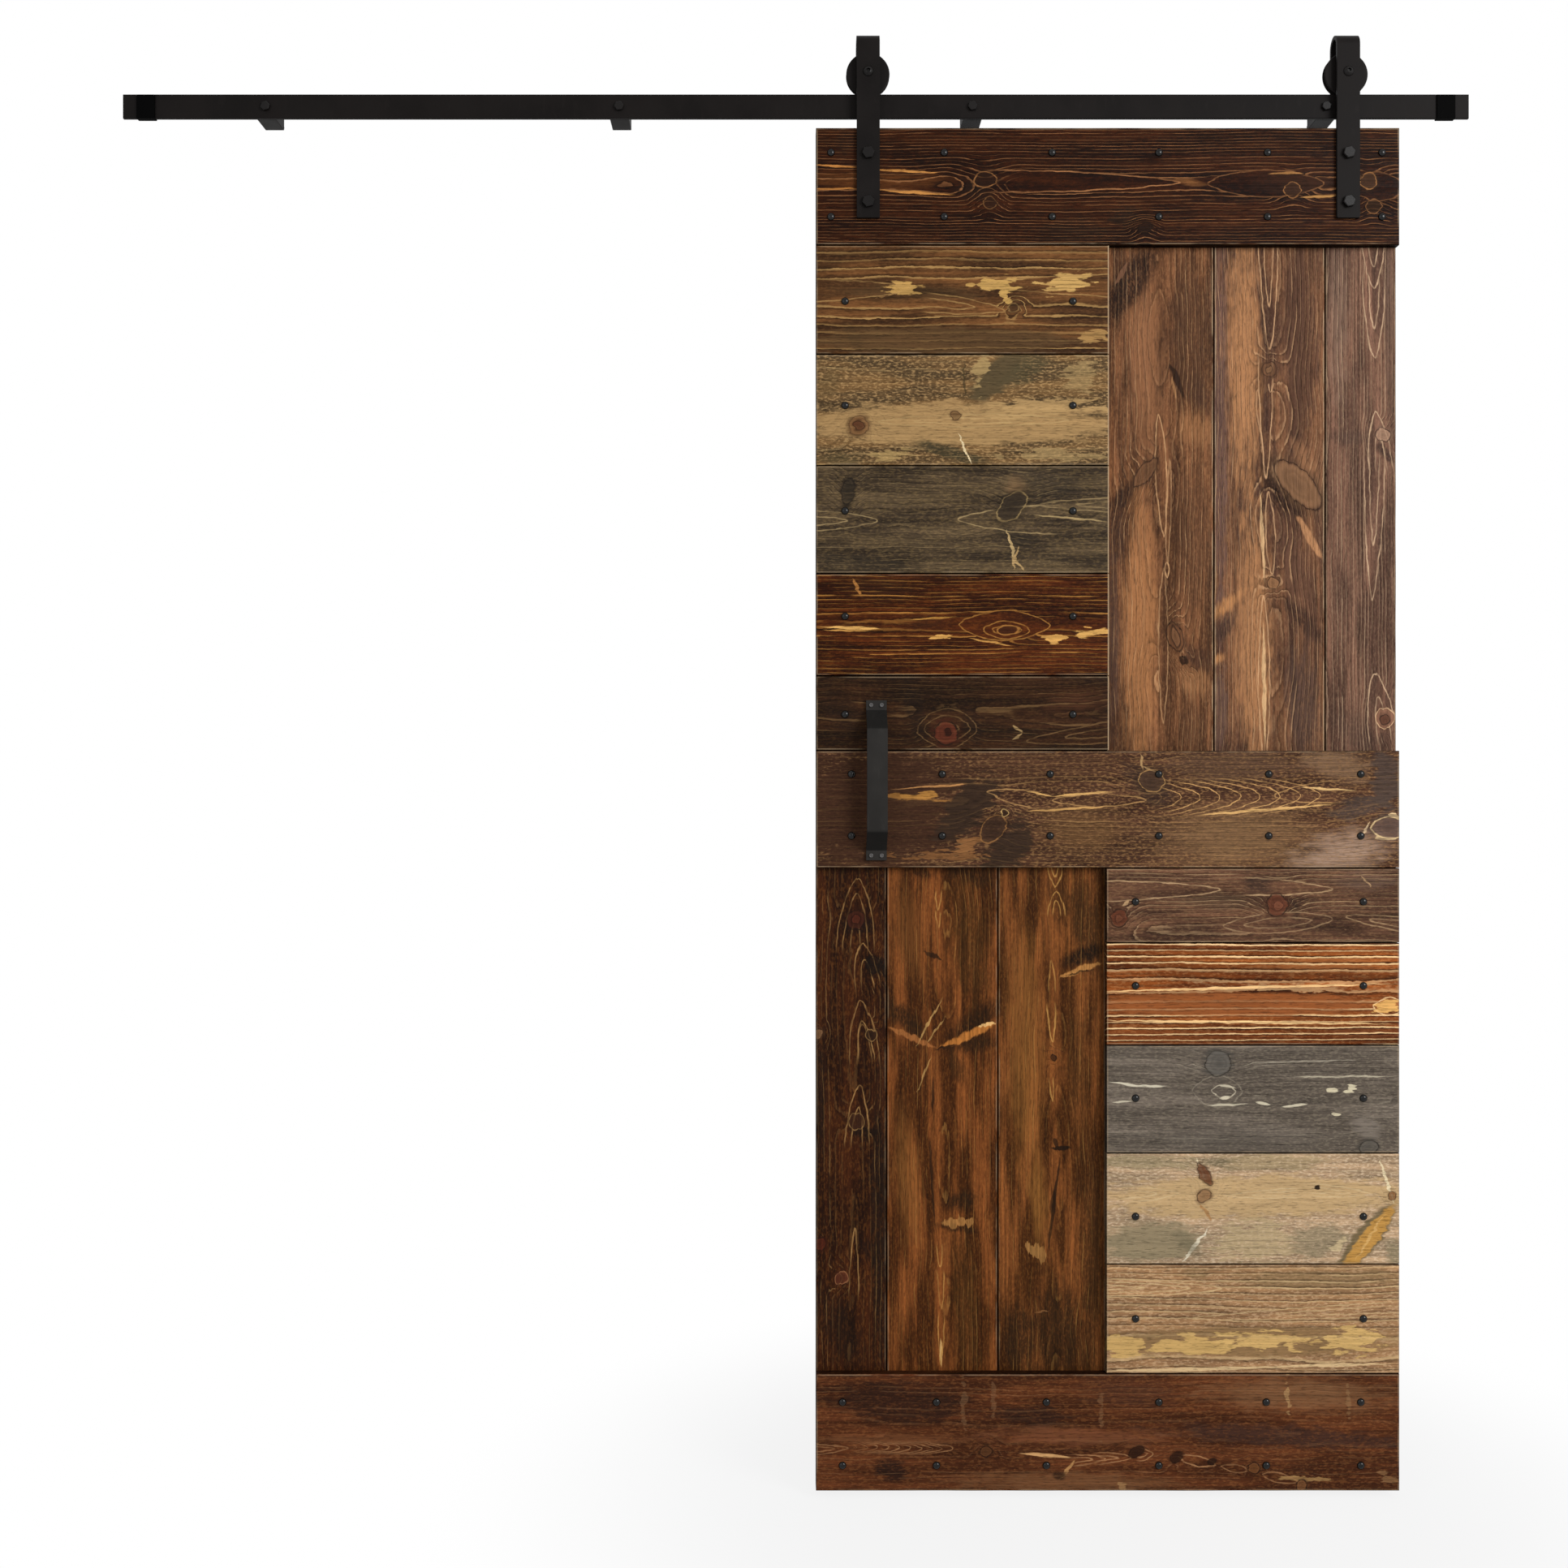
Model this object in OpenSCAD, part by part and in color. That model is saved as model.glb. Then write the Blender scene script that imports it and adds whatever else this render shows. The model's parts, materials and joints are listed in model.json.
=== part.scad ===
// Sliding barn door leaf on a flat steel track, with strap hangers and grooved wheels.
// Millimetres. The wall is the plane y = 0, the front faces -y, +z is up.
// The origin is on the wall, behind the middle of the track bar.

/* [Track] */
// Length of the track bar
track_length = 2113; // [2000:1:2600]
// Height of the track bar
track_height = 38; // [32:0.5:50]
// Thickness of the track bar
track_thick = 6; // [5:0.1:7]
// Distance from one lag bolt to the next
lag_pitch = 555; // [400:1:620]
// Bevel along the edges of the track bar
track_bevel = 0.8; // [0.2:0.1:1.5]

/* [End stops] */
// Bare length of bar outside each end stop
stop_inset = 22; // [10:0.5:60]
// Length of an end stop along the bar
stop_length = 28.5; // [15:0.5:60]
// Thickness of an end stop's front and back walls
stop_wall = 3; // [2:0.1:4]
// Thickness of an end stop under the bar
stop_floor = 0.8; // [0.8:0.1:4]
// How far the stop's walls stay below the top of the bar
stop_lip = 1.2; // [0.5:0.1:2]

/* [Wall fixing] */
// Depth of the spacers between the wall and the bar
standoff = 44; // [38:0.5:70]
// Width of a spacer
spacer_width = 30; // [20:0.5:50]
// Bevel along the edges of a spacer
spacer_bevel = 0.8; // [0.2:0.1:2]
// Diameter of the plain shank of a lag bolt
lag_shank_d = 8; // [6:0.1:10]
// Diameter of the thread that goes into the wall
lag_thread_d = 6.6; // [5:0.1:8]
// Length of the thread beyond the wall face, point included
lag_thread_length = 40; // [30:1:100]
// Width of a lag bolt's hex head across the flats
lag_head_af = 13; // [10:0.5:17]
// Height of a lag bolt's hex head
lag_head_h = 5; // [3:0.1:6]

/* [Door leaf] */
// Width of the leaf
door_width = 914; // [800:1:1100]
// Height of the leaf
door_height = 2134; // [1900:1:2500]
// Thickness of the front layer of rails and boards
front_thick = 16; // [12:0.5:22]
// Thickness of the back layer of upright planks
back_thick = 19; // [14:0.5:25]
// Height of each of the three cross rails
cross_rail_height = 184; // [160:1:240]
// Length of the horizontal boards, from the edge of the leaf
board_reach = 459.5; // [380:0.5:540]
// Gap between the track bar and the top of the leaf
door_drop = 17.5; // [10:0.5:40]
// Place of the middle of the leaf along the track
door_place = 488; // [440:0.5:500]
// Bevel along the front edges of rails, boards and planks
edge_bevel = 1.8; // [0.5:0.1:3]
// Length of the tongues of the back planks
tongue_length = 7; // [4:0.5:10]
// Thickness of the tongues of the back planks
tongue_thick = 6; // [4:0.5:8]

/* [Nails] */
// Diameter of a nail's dome
nail_head_d = 12; // [8:0.5:16]
// Height of a nail's dome
nail_head_h = 4.3; // [2:0.1:6]
// Diameter of a nail's shank
nail_shank_d = 3.4; // [2:0.1:5]
// Depth of a nail's shank in the back plank
nail_bite = 12; // [5:0.5:13]
// Height of the nail rows from the nearer edge of a cross rail
nail_row_inset = 42; // [20:0.5:70]
// Nails in the horizontal boards, from a board's left end
board_nail_left = 46; // [20:0.5:90]
// Nails in the horizontal boards, from a board's right end
board_nail_right = 57; // [20:0.5:90]

/* [Hangers] */
// Width of a hanger strap
strap_width = 36; // [28:0.5:50]
// Thickness of a hanger strap
strap_thick = 6; // [4:0.1:8]
// Clear width inside the loop of a strap
strap_gap = 25; // [22:0.5:32]
// Middle of a strap from the edge of the leaf
strap_inset = 82; // [50:0.5:90]
// Length of a strap below the top of the leaf
strap_foot = 143; // [130:1:175]
// Height of the loop's bend centre above the axle
loop_rise = 43; // [36:0.5:60]
// Length of a strap's back leg below the axle
back_leg_drop = 24; // [16:0.5:28]
// Cut at the lower corners of a strap
strap_corner = 1.5; // [0.5:0.1:6]
// Upper hanger bolt below the top of the leaf
bolt_upper = 42; // [25:0.5:60]
// Distance between the two bolts of a hanger
bolt_pitch = 76; // [50:0.5:90]
// Diameter of the hanger bolts
bolt_d = 10; // [8:0.5:12]
// Width of the hanger bolts' heads and nuts across the flats
bolt_af = 17; // [15:0.5:19]
// Height of a hanger bolt's head
bolt_head_h = 6.4; // [5:0.1:8]
// Height of the hanger nuts and axle nuts
nut_h = 8; // [6:0.1:10]
// Bolt end that shows past a nut
bolt_end = 3; // [1:0.5:5]
// Diameter of the hanger washers
washer_d = 21; // [18:0.5:30]
// Thickness of the hanger washers
washer_h = 2; // [1.5:0.1:3]

/* [Wheels] */
// Diameter of the wheel where it runs on the bar
tread_d = 60; // [56:0.5:68]
// Depth of the wheel's flanges past the tread
flange_depth = 4; // [3:0.1:5]
// Room between the bar and each flange
groove_play = 1; // [0.6:0.1:1.5]
// Thickness of each flange
flange_thick = 3; // [2.4:0.1:4]
// Diameter of the axle bolts
axle_d = 10; // [8:0.5:11]
// Diameter of an axle bolt's button head
button_d = 16.5; // [15:0.5:20]
// Height of an axle bolt's button head
button_h = 5.5; // [5:0.1:7]
// Width of the hex socket in a button head across the flats
socket_af = 6; // [4:0.5:8]
// Outside diameter of a wheel bearing
bearing_d = 26; // [25:0.5:32]
// Width of a wheel bearing
bearing_width = 8; // [7:0.5:10]
// Diameter of a bearing ball
ball_d = 4.6; // [4:0.1:5]

/* [Handle] */
// Length of the pull handle
handle_length = 250; // [210:1:320]
// Width of the handle's strap
handle_width = 32; // [25:0.5:45]
// Thickness of the handle's strap
handle_thick = 5; // [3:0.1:6]
// Clear depth behind the grip
handle_depth = 30; // [25:0.5:45]
// Length of each foot of the handle
handle_foot = 17; // [15:0.5:30]
// Length of each slope of the handle along the door
handle_slope = 31; // [25:0.5:45]
// Radius on the inside of the handle's bends
handle_bend = 4; // [2:0.5:8]
// Middle of the handle from the left edge of the leaf
handle_inset = 94.8; // [80:0.1:150]
// Lower end of the handle above the lower edge of the middle rail
handle_lift = 12.5; // [5:0.5:60]
// Distance between the two screws of a foot
screw_pitch = 16.5; // [12:0.5:20]
// Screws from the end of the handle
screw_inset = 7.5; // [6:0.5:10]
// Diameter of a handle screw's head
screw_head_d = 6.4; // [5:0.1:8]
// Height of a handle screw's head
screw_head_h = 2; // [1:0.1:3]
// Diameter of a handle screw's shank
screw_d = 3.6; // [3:0.1:4.5]

/* [Hidden] */
$fn = 64;
SIDES = ["left", "right"];
LAG_COUNT = 4;
BOARD_COUNT = 5;
RAIL_NAMES = ["top_rail", "middle_rail", "bottom_rail"];
PANEL_NAMES = ["upper", "lower"];

// Relative heights of the horizontal boards, from the outer rail to the middle rail
board_shares = [171, 174, 169, 160, 117];
// Relative widths of the back planks, from left to right
plank_shares = [112, 175, 170, 170, 175, 112];
PLANK_COUNT = len(plank_shares);
// How far each hand-driven nail of a cross rail strays sideways from the middle of its plank
rail_nail_stray = [
    [-32, 1.5, -2, -5, -7.5, 28],
    [0, -1.5, -5, -5, -5.5, -5],
    [-14, -10.5, -11, -5, -9.5, -5]
];
// How far the lower and the upper nail row of each cross rail stray upwards
rail_row_stray = [[2.3, 2.6], [8.6, 5.2], [-1.5, -2.5]];
// How far the two nails of each horizontal board stray down from the board's middle
board_nail_stray = [[2.5, -7, -13.5, -13, 2], [-0.5, 12, -1.5, -13, -6]];

// Clearances
fit_play = 0.15;       // pieces that are pushed or bolted together, each side
tread_play = 0.25;     // running gap between the wheels and the bar
ball_play = 0.1;       // running gap between the balls and the rings
ring_play = 0.02;      // inner ring on the axle
flange_pass = 3;       // under the rear flange, where it passes over a spacer
screw_board_rest = 3;  // wood left behind the tip of a handle screw

// Proportions inside a bearing
ring_share = 0.31;     // part of the wall that each ring takes
ball_spread = 1.5;     // ball diameters from one ball to the next
bush_step = 0.5;       // rim of the inner ring that stands out past a bush

// Track places
track_top = track_height / 2;
track_back = -standoff;
track_front = track_back - track_thick;
track_mid = (track_back + track_front) / 2;
track_end = track_length / 2;
stop_middle = track_end - stop_inset - stop_length / 2;

// Wheel and hanger places
flange_d = tread_d + 2 * flange_depth;
groove_width = track_thick + 2 * groove_play;
wheel_width = groove_width + 2 * flange_thick;
axle_z = track_top + tread_play + tread_d / 2;
bend_z = axle_z + loop_rise;
loop_r = strap_gap / 2;
spacer_top = axle_z - flange_d / 2 - flange_pass;
strap_back = track_mid - loop_r;
strap_front = strap_back - strap_thick;
leg_front = track_mid + loop_r;
leg_back = leg_front + strap_thick;
ball_ring_r = (bearing_d + axle_d) / 4;
ring_thick = ring_share * (bearing_d - axle_d) / 2;
bush_d = axle_d + 2 * ring_thick - 2 * bush_step;
bush_length = (strap_gap - bearing_width) / 2;
BALL_COUNT = floor(2 * PI * ball_ring_r / (ball_d * ball_spread));

// Door places
door_top = -track_top - door_drop;
door_bottom = door_top - door_height;
door_left = door_place - door_width / 2;
door_right = door_left + door_width;
door_front = strap_back;
seam_y = door_front + front_thick;
door_back = seam_y + back_thick;
panel_height = (door_height - 3 * cross_rail_height) / 2;
rail_step = cross_rail_height + panel_height;
nail_length = front_thick + nail_bite;
middle_rail_z = rail_z(1);
handle_x = door_left + handle_inset;
handle_z = middle_rail_z + handle_lift;
screw_length = handle_thick + front_thick - screw_board_rest;

// Layout rules
function total(list, count) = count == 0 ? 0 : list[count - 1] + total(list, count - 1);
function share_edge(shares, count, whole) = whole * total(shares, count) / total(shares, len(shares));
function hand(side) = side == "left" ? -1 : 1;
function lag_x(i) = (i - (LAG_COUNT + 1) / 2) * lag_pitch;
function hanger_x(side) = door_place + hand(side) * (door_width / 2 - strap_inset);
function plank_edge(i) = door_left + share_edge(plank_shares, i, door_width);
function plank_middle(i) = (plank_edge(i - 1) + plank_edge(i)) / 2;

// Lower edge of cross rail 0, 1 or 2, counted from the top
function rail_z(r) = door_top - cross_rail_height - r * rail_step;

// Left edge of a panel's boards
function board_x(panel) = panel == "upper" ? door_left : door_right - board_reach;

// Lower edge of board i, counted from the top of its panel
function board_z(panel, i) = panel == "upper"
    ? rail_z(0) - share_edge(board_shares, i, panel_height)
    : rail_z(2) + cross_rail_height + share_edge(board_shares, BOARD_COUNT - i, panel_height);
function board_height(panel, i) = board_share(panel, i) * panel_height / total(board_shares, BOARD_COUNT);
function board_share(panel, i) = board_shares[panel == "upper" ? i - 1 : BOARD_COUNT - i];

// Nails as [x, z]
function nail_row_z(row) = row == 0 ? nail_row_inset : cross_rail_height - nail_row_inset;
function rail_nails_of(r) = [
    for (row = [0, 1], i = [1:PLANK_COUNT])
        [
            plank_middle(i) + rail_nail_stray[r][i - 1],
            rail_z(r) + nail_row_z(row) + rail_row_stray[r][row]
        ]
];
function board_nails_of(panel, i) = [
    for (along = [board_nail_left, board_reach - board_nail_right])
        [
            board_x(panel) + along,
            board_z(panel, i) + board_height(panel, i) / 2 - nail_stray_of(panel, i)
        ]
];
function nail_stray_of(panel, i) = panel == "upper"
    ? board_nail_stray[0][i - 1]
    : board_nail_stray[1][BOARD_COUNT - i];
rail_nail_places = [for (r = [0:2]) each rail_nails_of(r)];
board_nail_places = [
    for (panel = PANEL_NAMES, i = [1:BOARD_COUNT]) each board_nails_of(panel, i)
];
hanger_bolt_places = [
    for (side = SIDES, down = [bolt_upper, bolt_upper + bolt_pitch])
        [hanger_x(side), door_top - down]
];
screw_places = [
    for (across = [-1, 1], up = [screw_inset, handle_length - screw_inset])
        [handle_x + across * screw_pitch / 2, handle_z + up]
];

// Colours
BLACK_STEEL = [0.13, 0.12, 0.11];
WORN_STEEL = [0.19, 0.18, 0.17];
BRIGHT_STEEL = [0.62, 0.62, 0.6];
BLACK_RUBBER = [0.02, 0.02, 0.02];
RAIL_WOOD = [[0.24, 0.15, 0.09], [0.29, 0.21, 0.15], [0.31, 0.2, 0.15]];
PLANK_WOOD = [
    [0.25, 0.17, 0.12], [0.42, 0.27, 0.15], [0.45, 0.3, 0.17],
    [0.46, 0.31, 0.21], [0.45, 0.31, 0.2], [0.41, 0.31, 0.26]
];
BOARD_WOOD = [
    [
        [0.47, 0.37, 0.24], [0.54, 0.47, 0.34], [0.29, 0.26, 0.21],
        [0.43, 0.25, 0.12], [0.23, 0.17, 0.13]
    ],
    [
        [0.36, 0.28, 0.22], [0.55, 0.34, 0.18], [0.36, 0.34, 0.31],
        [0.7, 0.6, 0.44], [0.61, 0.5, 0.35]
    ]
];

// A round bar along y, from y0 to y1
module bar_y(x, z, y0, y1, d) {
    translate([x, y0, z])
        rotate([-90, 0, 0])
            cylinder(d = d, h = y1 - y0);
}

// A hexagonal bar along y, measured across its flats, with two corners up and down
module hex_y(x, z, y0, y1, across_flats) {
    translate([x, y0, z])
        rotate([-90, 30, 0])
            cylinder(d = across_flats / cos(30), h = y1 - y0, $fn = 6);
}

// Turns a profile of [radius, y] about an axle that runs along y
module turned(x, z, y = track_mid) {
    translate([x, y, z])
        rotate([-90, 0, 0])
            rotate_extrude($fn = 96)
                children();
}

// A rectangle from the lower to the higher corner, with bevelled corners
module bevelled_rect(low, high, bevel) {
    polygon([
        [low.x + bevel, low.y], [high.x - bevel, low.y], [high.x, low.y + bevel],
        [high.x, high.y - bevel], [high.x - bevel, high.y], [low.x + bevel, high.y],
        [low.x, high.y - bevel], [low.x, low.y + bevel]
    ]);
}

// Runs a profile of [y, z] along x
module along_x(x0, x1) {
    translate([x0, 0, 0])
        rotate([90, 0, 90])
            linear_extrude(x1 - x0)
                children();
}

// A flat board with its four front edges bevelled
module bevelled_board(x, z, width, height) {
    intersection() {
        translate([x, door_front, z])
            linear_extrude(height)
                front_bevelled(width);
        along_x(x, x + width)
            translate([door_front, z])
                mirror([1, -1, 0])
                    front_bevelled(height);
    }
}

// Section of a board, front face on the first axis
module front_bevelled(width) {
    polygon([
        [0, edge_bevel], [edge_bevel, 0], [width - edge_bevel, 0], [width, edge_bevel],
        [width, front_thick], [0, front_thick]
    ]);
}

// Holes for the nails whose places lie in a stretch of x and z
module nail_holes(places, low, high) {
    for (p = places)
        if (p.x > low.x && p.x < high.x && p.y > low.y && p.y < high.y)
            bar_y(p.x, p.y, door_front - 1, door_front + nail_length + fit_play, nail_shank_d + 2 * fit_play);
}

// Holes for the hanger bolts that meet a stretch of x and z
module hanger_holes(low, high) {
    for (p = hanger_bolt_places)
        if (p.x > low.x - bolt_d && p.x < high.x + bolt_d && p.y > low.y - bolt_d && p.y < high.y + bolt_d)
            bar_y(p.x, p.y, strap_front - 1, door_back + 1, bolt_d + 2 * fit_play);
}

// Blind holes for the handle screws that meet a stretch of z
module screw_holes(low, high) {
    for (p = screw_places)
        if (p.y > low - screw_d && p.y < high + screw_d)
            bar_y(
                p.x, p.y, door_front - 1, door_front - handle_thick + screw_length + fit_play,
                screw_d + 2 * fit_play
            );
}

// Track

module track_bar() {
    color(BLACK_STEEL)
        difference() {
            along_x(-track_end, track_end)
                bevelled_rect([track_front, -track_top], [track_back, track_top], track_bevel);
            for (i = [1:LAG_COUNT])
                bar_y(lag_x(i), 0, track_front - 1, track_back + 1, lag_shank_d + 2 * fit_play);
        }
}

// The block stops below the path of the wheel's rear flange
module spacer(i) {
    color(BLACK_STEEL)
        difference() {
            translate([0, track_back, 0])
                rotate([-90, 0, 0])
                    linear_extrude(standoff)
                        mirror([0, 1, 0])
                            bevelled_rect(
                                [lag_x(i) - spacer_width / 2, -track_top],
                                [lag_x(i) + spacer_width / 2, spacer_top],
                                spacer_bevel
                            );
            bar_y(lag_x(i), 0, track_back - 1, 1, lag_shank_d + 2 * fit_play);
        }
}

module lag_bolts() {
    point = lag_thread_d;
    color(BLACK_STEEL)
        for (i = [1:LAG_COUNT]) {
            hex_y(lag_x(i), 0, track_front - lag_head_h, track_front, lag_head_af);
            bar_y(lag_x(i), 0, track_front - lag_head_h / 2, 0, lag_shank_d);
            bar_y(lag_x(i), 0, 0, lag_thread_length - point, lag_thread_d);
            translate([lag_x(i), lag_thread_length - point, 0])
                rotate([-90, 0, 0])
                    cylinder(d1 = lag_thread_d, d2 = lag_thread_d / 10, h = point);
        }
}

// A channel of black rubber pushed up over the lower edge of the bar
module end_stop(side) {
    middle = hand(side) * stop_middle;
    color(BLACK_RUBBER)
        along_x(middle - stop_length / 2, middle + stop_length / 2)
            difference() {
                bevelled_rect(
                    [track_front - stop_wall, -track_top - stop_floor],
                    [track_back + stop_wall, track_top - stop_lip],
                    stop_floor / 2
                );
                translate([track_front, -track_top])
                    square([track_thick, 2 * track_top]);
            }
}

// Door leaf

module cross_rail(r) {
    low = [door_left, rail_z(r)];
    high = [door_right, rail_z(r) + cross_rail_height];
    color(RAIL_WOOD[r])
        difference() {
            bevelled_board(low.x, low.y, door_width, cross_rail_height);
            nail_holes(rail_nail_places, low, high);
            hanger_holes(low, high);
            screw_holes(low.y, high.y);
        }
}

module panel_board(panel, i) {
    low = [board_x(panel), board_z(panel, i)];
    high = low + [board_reach, board_height(panel, i)];
    color(BOARD_WOOD[panel == "upper" ? 0 : 1][i - 1])
        difference() {
            bevelled_board(low.x, low.y, board_reach, board_height(panel, i));
            nail_holes(board_nail_places, low, high);
            hanger_holes(low, high);
            if (panel == "upper")
                screw_holes(low.y, high.y);
        }
}

// Plank with a tongue on its right edge and a groove in its left edge, where it has a neighbour
module back_plank(i) {
    low = [plank_edge(i - 1), door_bottom];
    high = [plank_edge(i), door_top];
    tongue_y = (seam_y + door_back) / 2;
    color(PLANK_WOOD[i - 1])
        difference() {
            translate([0, 0, door_bottom])
                linear_extrude(door_height)
                    difference() {
                        union() {
                            bevelled_rect([low.x, seam_y], [high.x, door_back], edge_bevel);
                            if (i < PLANK_COUNT)
                                translate([high.x - 1, tongue_y - tongue_thick / 2])
                                    square([tongue_length + 1, tongue_thick]);
                        }
                        if (i > 1)
                            translate([low.x - 1, tongue_y - tongue_thick / 2 - fit_play])
                                square([tongue_length + 2 * fit_play + 1, tongue_thick + 2 * fit_play]);
                    }
            nail_holes(concat(rail_nail_places, board_nail_places), low, high);
            hanger_holes(low, high);
        }
}

// Dome-headed nails, driven in from the front
module nails(places) {
    head_r = nail_head_d / 2;
    dome_r = (head_r * head_r + nail_head_h * nail_head_h) / (2 * nail_head_h);
    color(BLACK_STEEL)
        for (p = places) {
            intersection() {
                translate([p.x, door_front - nail_head_h + dome_r, p.y])
                    sphere(dome_r);
                bar_y(p.x, p.y, door_front - nail_head_h - 1, door_front, nail_head_d);
            }
            bar_y(p.x, p.y, door_front, door_front + nail_length, nail_shank_d);
        }
}

// Handle

// Points of a fillet between two straight runs, from the run before to the run after
function fillet(at, before, after, r) =
    let (
        a = atan2(before.y, before.x),
        turn = atan2(before.x * after.y - before.y * after.x, before * after),
        setback = r * tan(abs(turn) / 2),
        start = at - setback * [cos(a), sin(a)],
        lean = turn > 0 ? 90 : -90,
        centre = start + r * [cos(a + lean), sin(a + lean)],
        steps = 6
    )
    [for (s = [0:steps]) centre - r * [cos(a + lean + turn * s / steps), sin(a + lean + turn * s / steps)]];

// One face of the bent strap as [z, depth from the door], from the lower foot to the upper foot
function handle_face(offset, r_foot, r_grip) =
    let (
        slope_angle = atan2(handle_depth, handle_slope),
        shift = offset * tan(slope_angle / 2),
        z1 = handle_foot - shift,
        z2 = handle_foot + handle_slope - shift,
        up = [cos(slope_angle), sin(slope_angle)],
        down = [cos(slope_angle), -sin(slope_angle)],
        flat = [1, 0]
    )
    concat(
        [[0, offset]],
        fillet([z1, offset], flat, up, r_foot),
        fillet([z2, handle_depth + offset], up, flat, r_grip),
        fillet([handle_length - z2, handle_depth + offset], flat, down, r_grip),
        fillet([handle_length - z1, offset], down, flat, r_foot),
        [[handle_length, offset]]
    );
function reversed(list) = [for (i = [len(list) - 1:-1:0]) list[i]];

module pull_handle() {
    outside = handle_face(handle_thick, handle_bend, handle_bend + handle_thick);
    inside = handle_face(0, handle_bend + handle_thick, handle_bend);
    color(WORN_STEEL)
        difference() {
            translate([0, door_front, handle_z])
                along_x(handle_x - handle_width / 2, handle_x + handle_width / 2)
                    polygon([for (p = concat(outside, reversed(inside))) [-p.y, p.x]]);
            for (p = screw_places)
                bar_y(p.x, p.y, door_front - handle_thick - 1, door_front + 1, screw_d + 2 * fit_play);
        }
}

// Pan heads that sit on the feet of the handle
module handle_screws() {
    seat = door_front - handle_thick;
    slot_depth = screw_head_h / 2;
    slot_width = screw_head_d / 6;
    color(BLACK_STEEL)
        for (p = screw_places) {
            difference() {
                bar_y(p.x, p.y, seat - screw_head_h, seat, screw_head_d);
                for (size = [[screw_head_d / 1.6, slot_width], [slot_width, screw_head_d / 1.6]])
                    translate([p.x - size.x / 2, seat - screw_head_h - 1, p.y - size.y / 2])
                        cube([size.x, slot_depth + 1, size.y]);
            }
            bar_y(p.x, p.y, seat, seat + screw_length, screw_d);
        }
}

// Hangers

// Section of a hanger strap as [y, z]: long front leg, half-round loop and short back leg
module strap_section() {
    foot_z = door_top - strap_foot;
    leg_z = axle_z - back_leg_drop;
    translate([strap_front, foot_z])
        square([strap_thick, bend_z - foot_z]);
    translate([leg_front, leg_z])
        square([strap_thick, bend_z - leg_z]);
    difference() {
        translate([track_mid, bend_z])
            circle(loop_r + strap_thick);
        translate([track_mid, bend_z])
            circle(loop_r);
        translate([strap_front - 1, bend_z - 2 * loop_r - strap_thick])
            square([leg_back - strap_front + 2, 2 * loop_r + strap_thick]);
    }
}

// Face of the strap seen from the front, with its lower corners cut
module strap_face(x) {
    half = strap_width / 2;
    foot_z = door_top - strap_foot;
    top_z = bend_z + loop_r + strap_thick;
    polygon([
        [x - half + strap_corner, foot_z], [x + half - strap_corner, foot_z],
        [x + half, foot_z + strap_corner],
        [x + half, top_z + 1], [x - half, top_z + 1], [x - half, foot_z + strap_corner]
    ]);
}

module hanger_strap(side) {
    x = hanger_x(side);
    color(BLACK_STEEL)
        difference() {
            intersection() {
                along_x(x - strap_width / 2, x + strap_width / 2)
                    strap_section();
                translate([0, leg_back + 1, 0])
                    rotate([90, 0, 0])
                        linear_extrude(leg_back - strap_front + 2)
                            strap_face(x);
            }
            bar_y(x, axle_z, strap_front - 1, leg_back + 1, axle_d + 2 * fit_play);
            hanger_holes([x - 1, door_bottom], [x + 1, door_top]);
        }
}

module hanger_bolts() {
    bolt_tip = door_back + washer_h + nut_h + bolt_end;
    color(BLACK_STEEL)
        for (p = hanger_bolt_places) {
            hex_y(p.x, p.y, strap_front - bolt_head_h, strap_front, bolt_af);
            bar_y(p.x, p.y, strap_front - bolt_head_h / 2, bolt_tip, bolt_d);
        }
}

module hanger_washers() {
    color(BLACK_STEEL)
        for (p = hanger_bolt_places)
            difference() {
                bar_y(p.x, p.y, door_back, door_back + washer_h, washer_d);
                bar_y(p.x, p.y, door_back - 1, door_back + washer_h + 1, bolt_d + 2 * fit_play);
            }
}

// A hex nut whose front face seats at y
module nut(x, z, y, across_flats, bore) {
    difference() {
        hex_y(x, z, y, y + nut_h, across_flats);
        bar_y(x, z, y - 1, y + nut_h + 1, bore + 2 * fit_play);
    }
}

module hanger_nuts() {
    color(BLACK_STEEL)
        for (p = hanger_bolt_places)
            nut(p.x, p.y, door_back + washer_h, bolt_af, bolt_d);
}

// Button head with a hex socket, plain shank through both legs of the strap
module axle_bolt(side) {
    x = hanger_x(side);
    head_r = button_d / 2;
    dome_r = (head_r * head_r + button_h * button_h) / (2 * button_h);
    color(BLACK_STEEL) {
        difference() {
            intersection() {
                translate([x, strap_front - button_h + dome_r, axle_z])
                    sphere(dome_r);
                bar_y(x, axle_z, strap_front - button_h - 1, strap_front, button_d);
            }
            hex_y(x, axle_z, strap_front - button_h - 1, strap_front - button_h / 3, socket_af);
        }
        bar_y(x, axle_z, strap_front, leg_back + nut_h + bolt_end, axle_d);
    }
}

module axle_nuts() {
    color(BLACK_STEEL)
        for (side = SIDES)
            nut(hanger_x(side), axle_z, leg_back, bolt_af, axle_d);
}

// Plain sleeves between the strap's legs and the bearing's inner ring
module axle_bushes() {
    color(BLACK_STEEL)
        for (side = SIDES, y = [strap_back, leg_front - bush_length])
            difference() {
                bar_y(hanger_x(side), axle_z, y, y + bush_length, bush_d);
                bar_y(hanger_x(side), axle_z, y - 1, y + bush_length + 1, axle_d + 2 * fit_play);
            }
}

// Wheels and bearings

// Section of a bearing ring between two radii, with the track that the balls run in
module ring_section(inner, outer) {
    difference() {
        translate([inner, -bearing_width / 2])
            square([outer - inner, bearing_width]);
        translate([ball_ring_r, 0])
            circle(d = ball_d + 2 * ball_play);
    }
}

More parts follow.
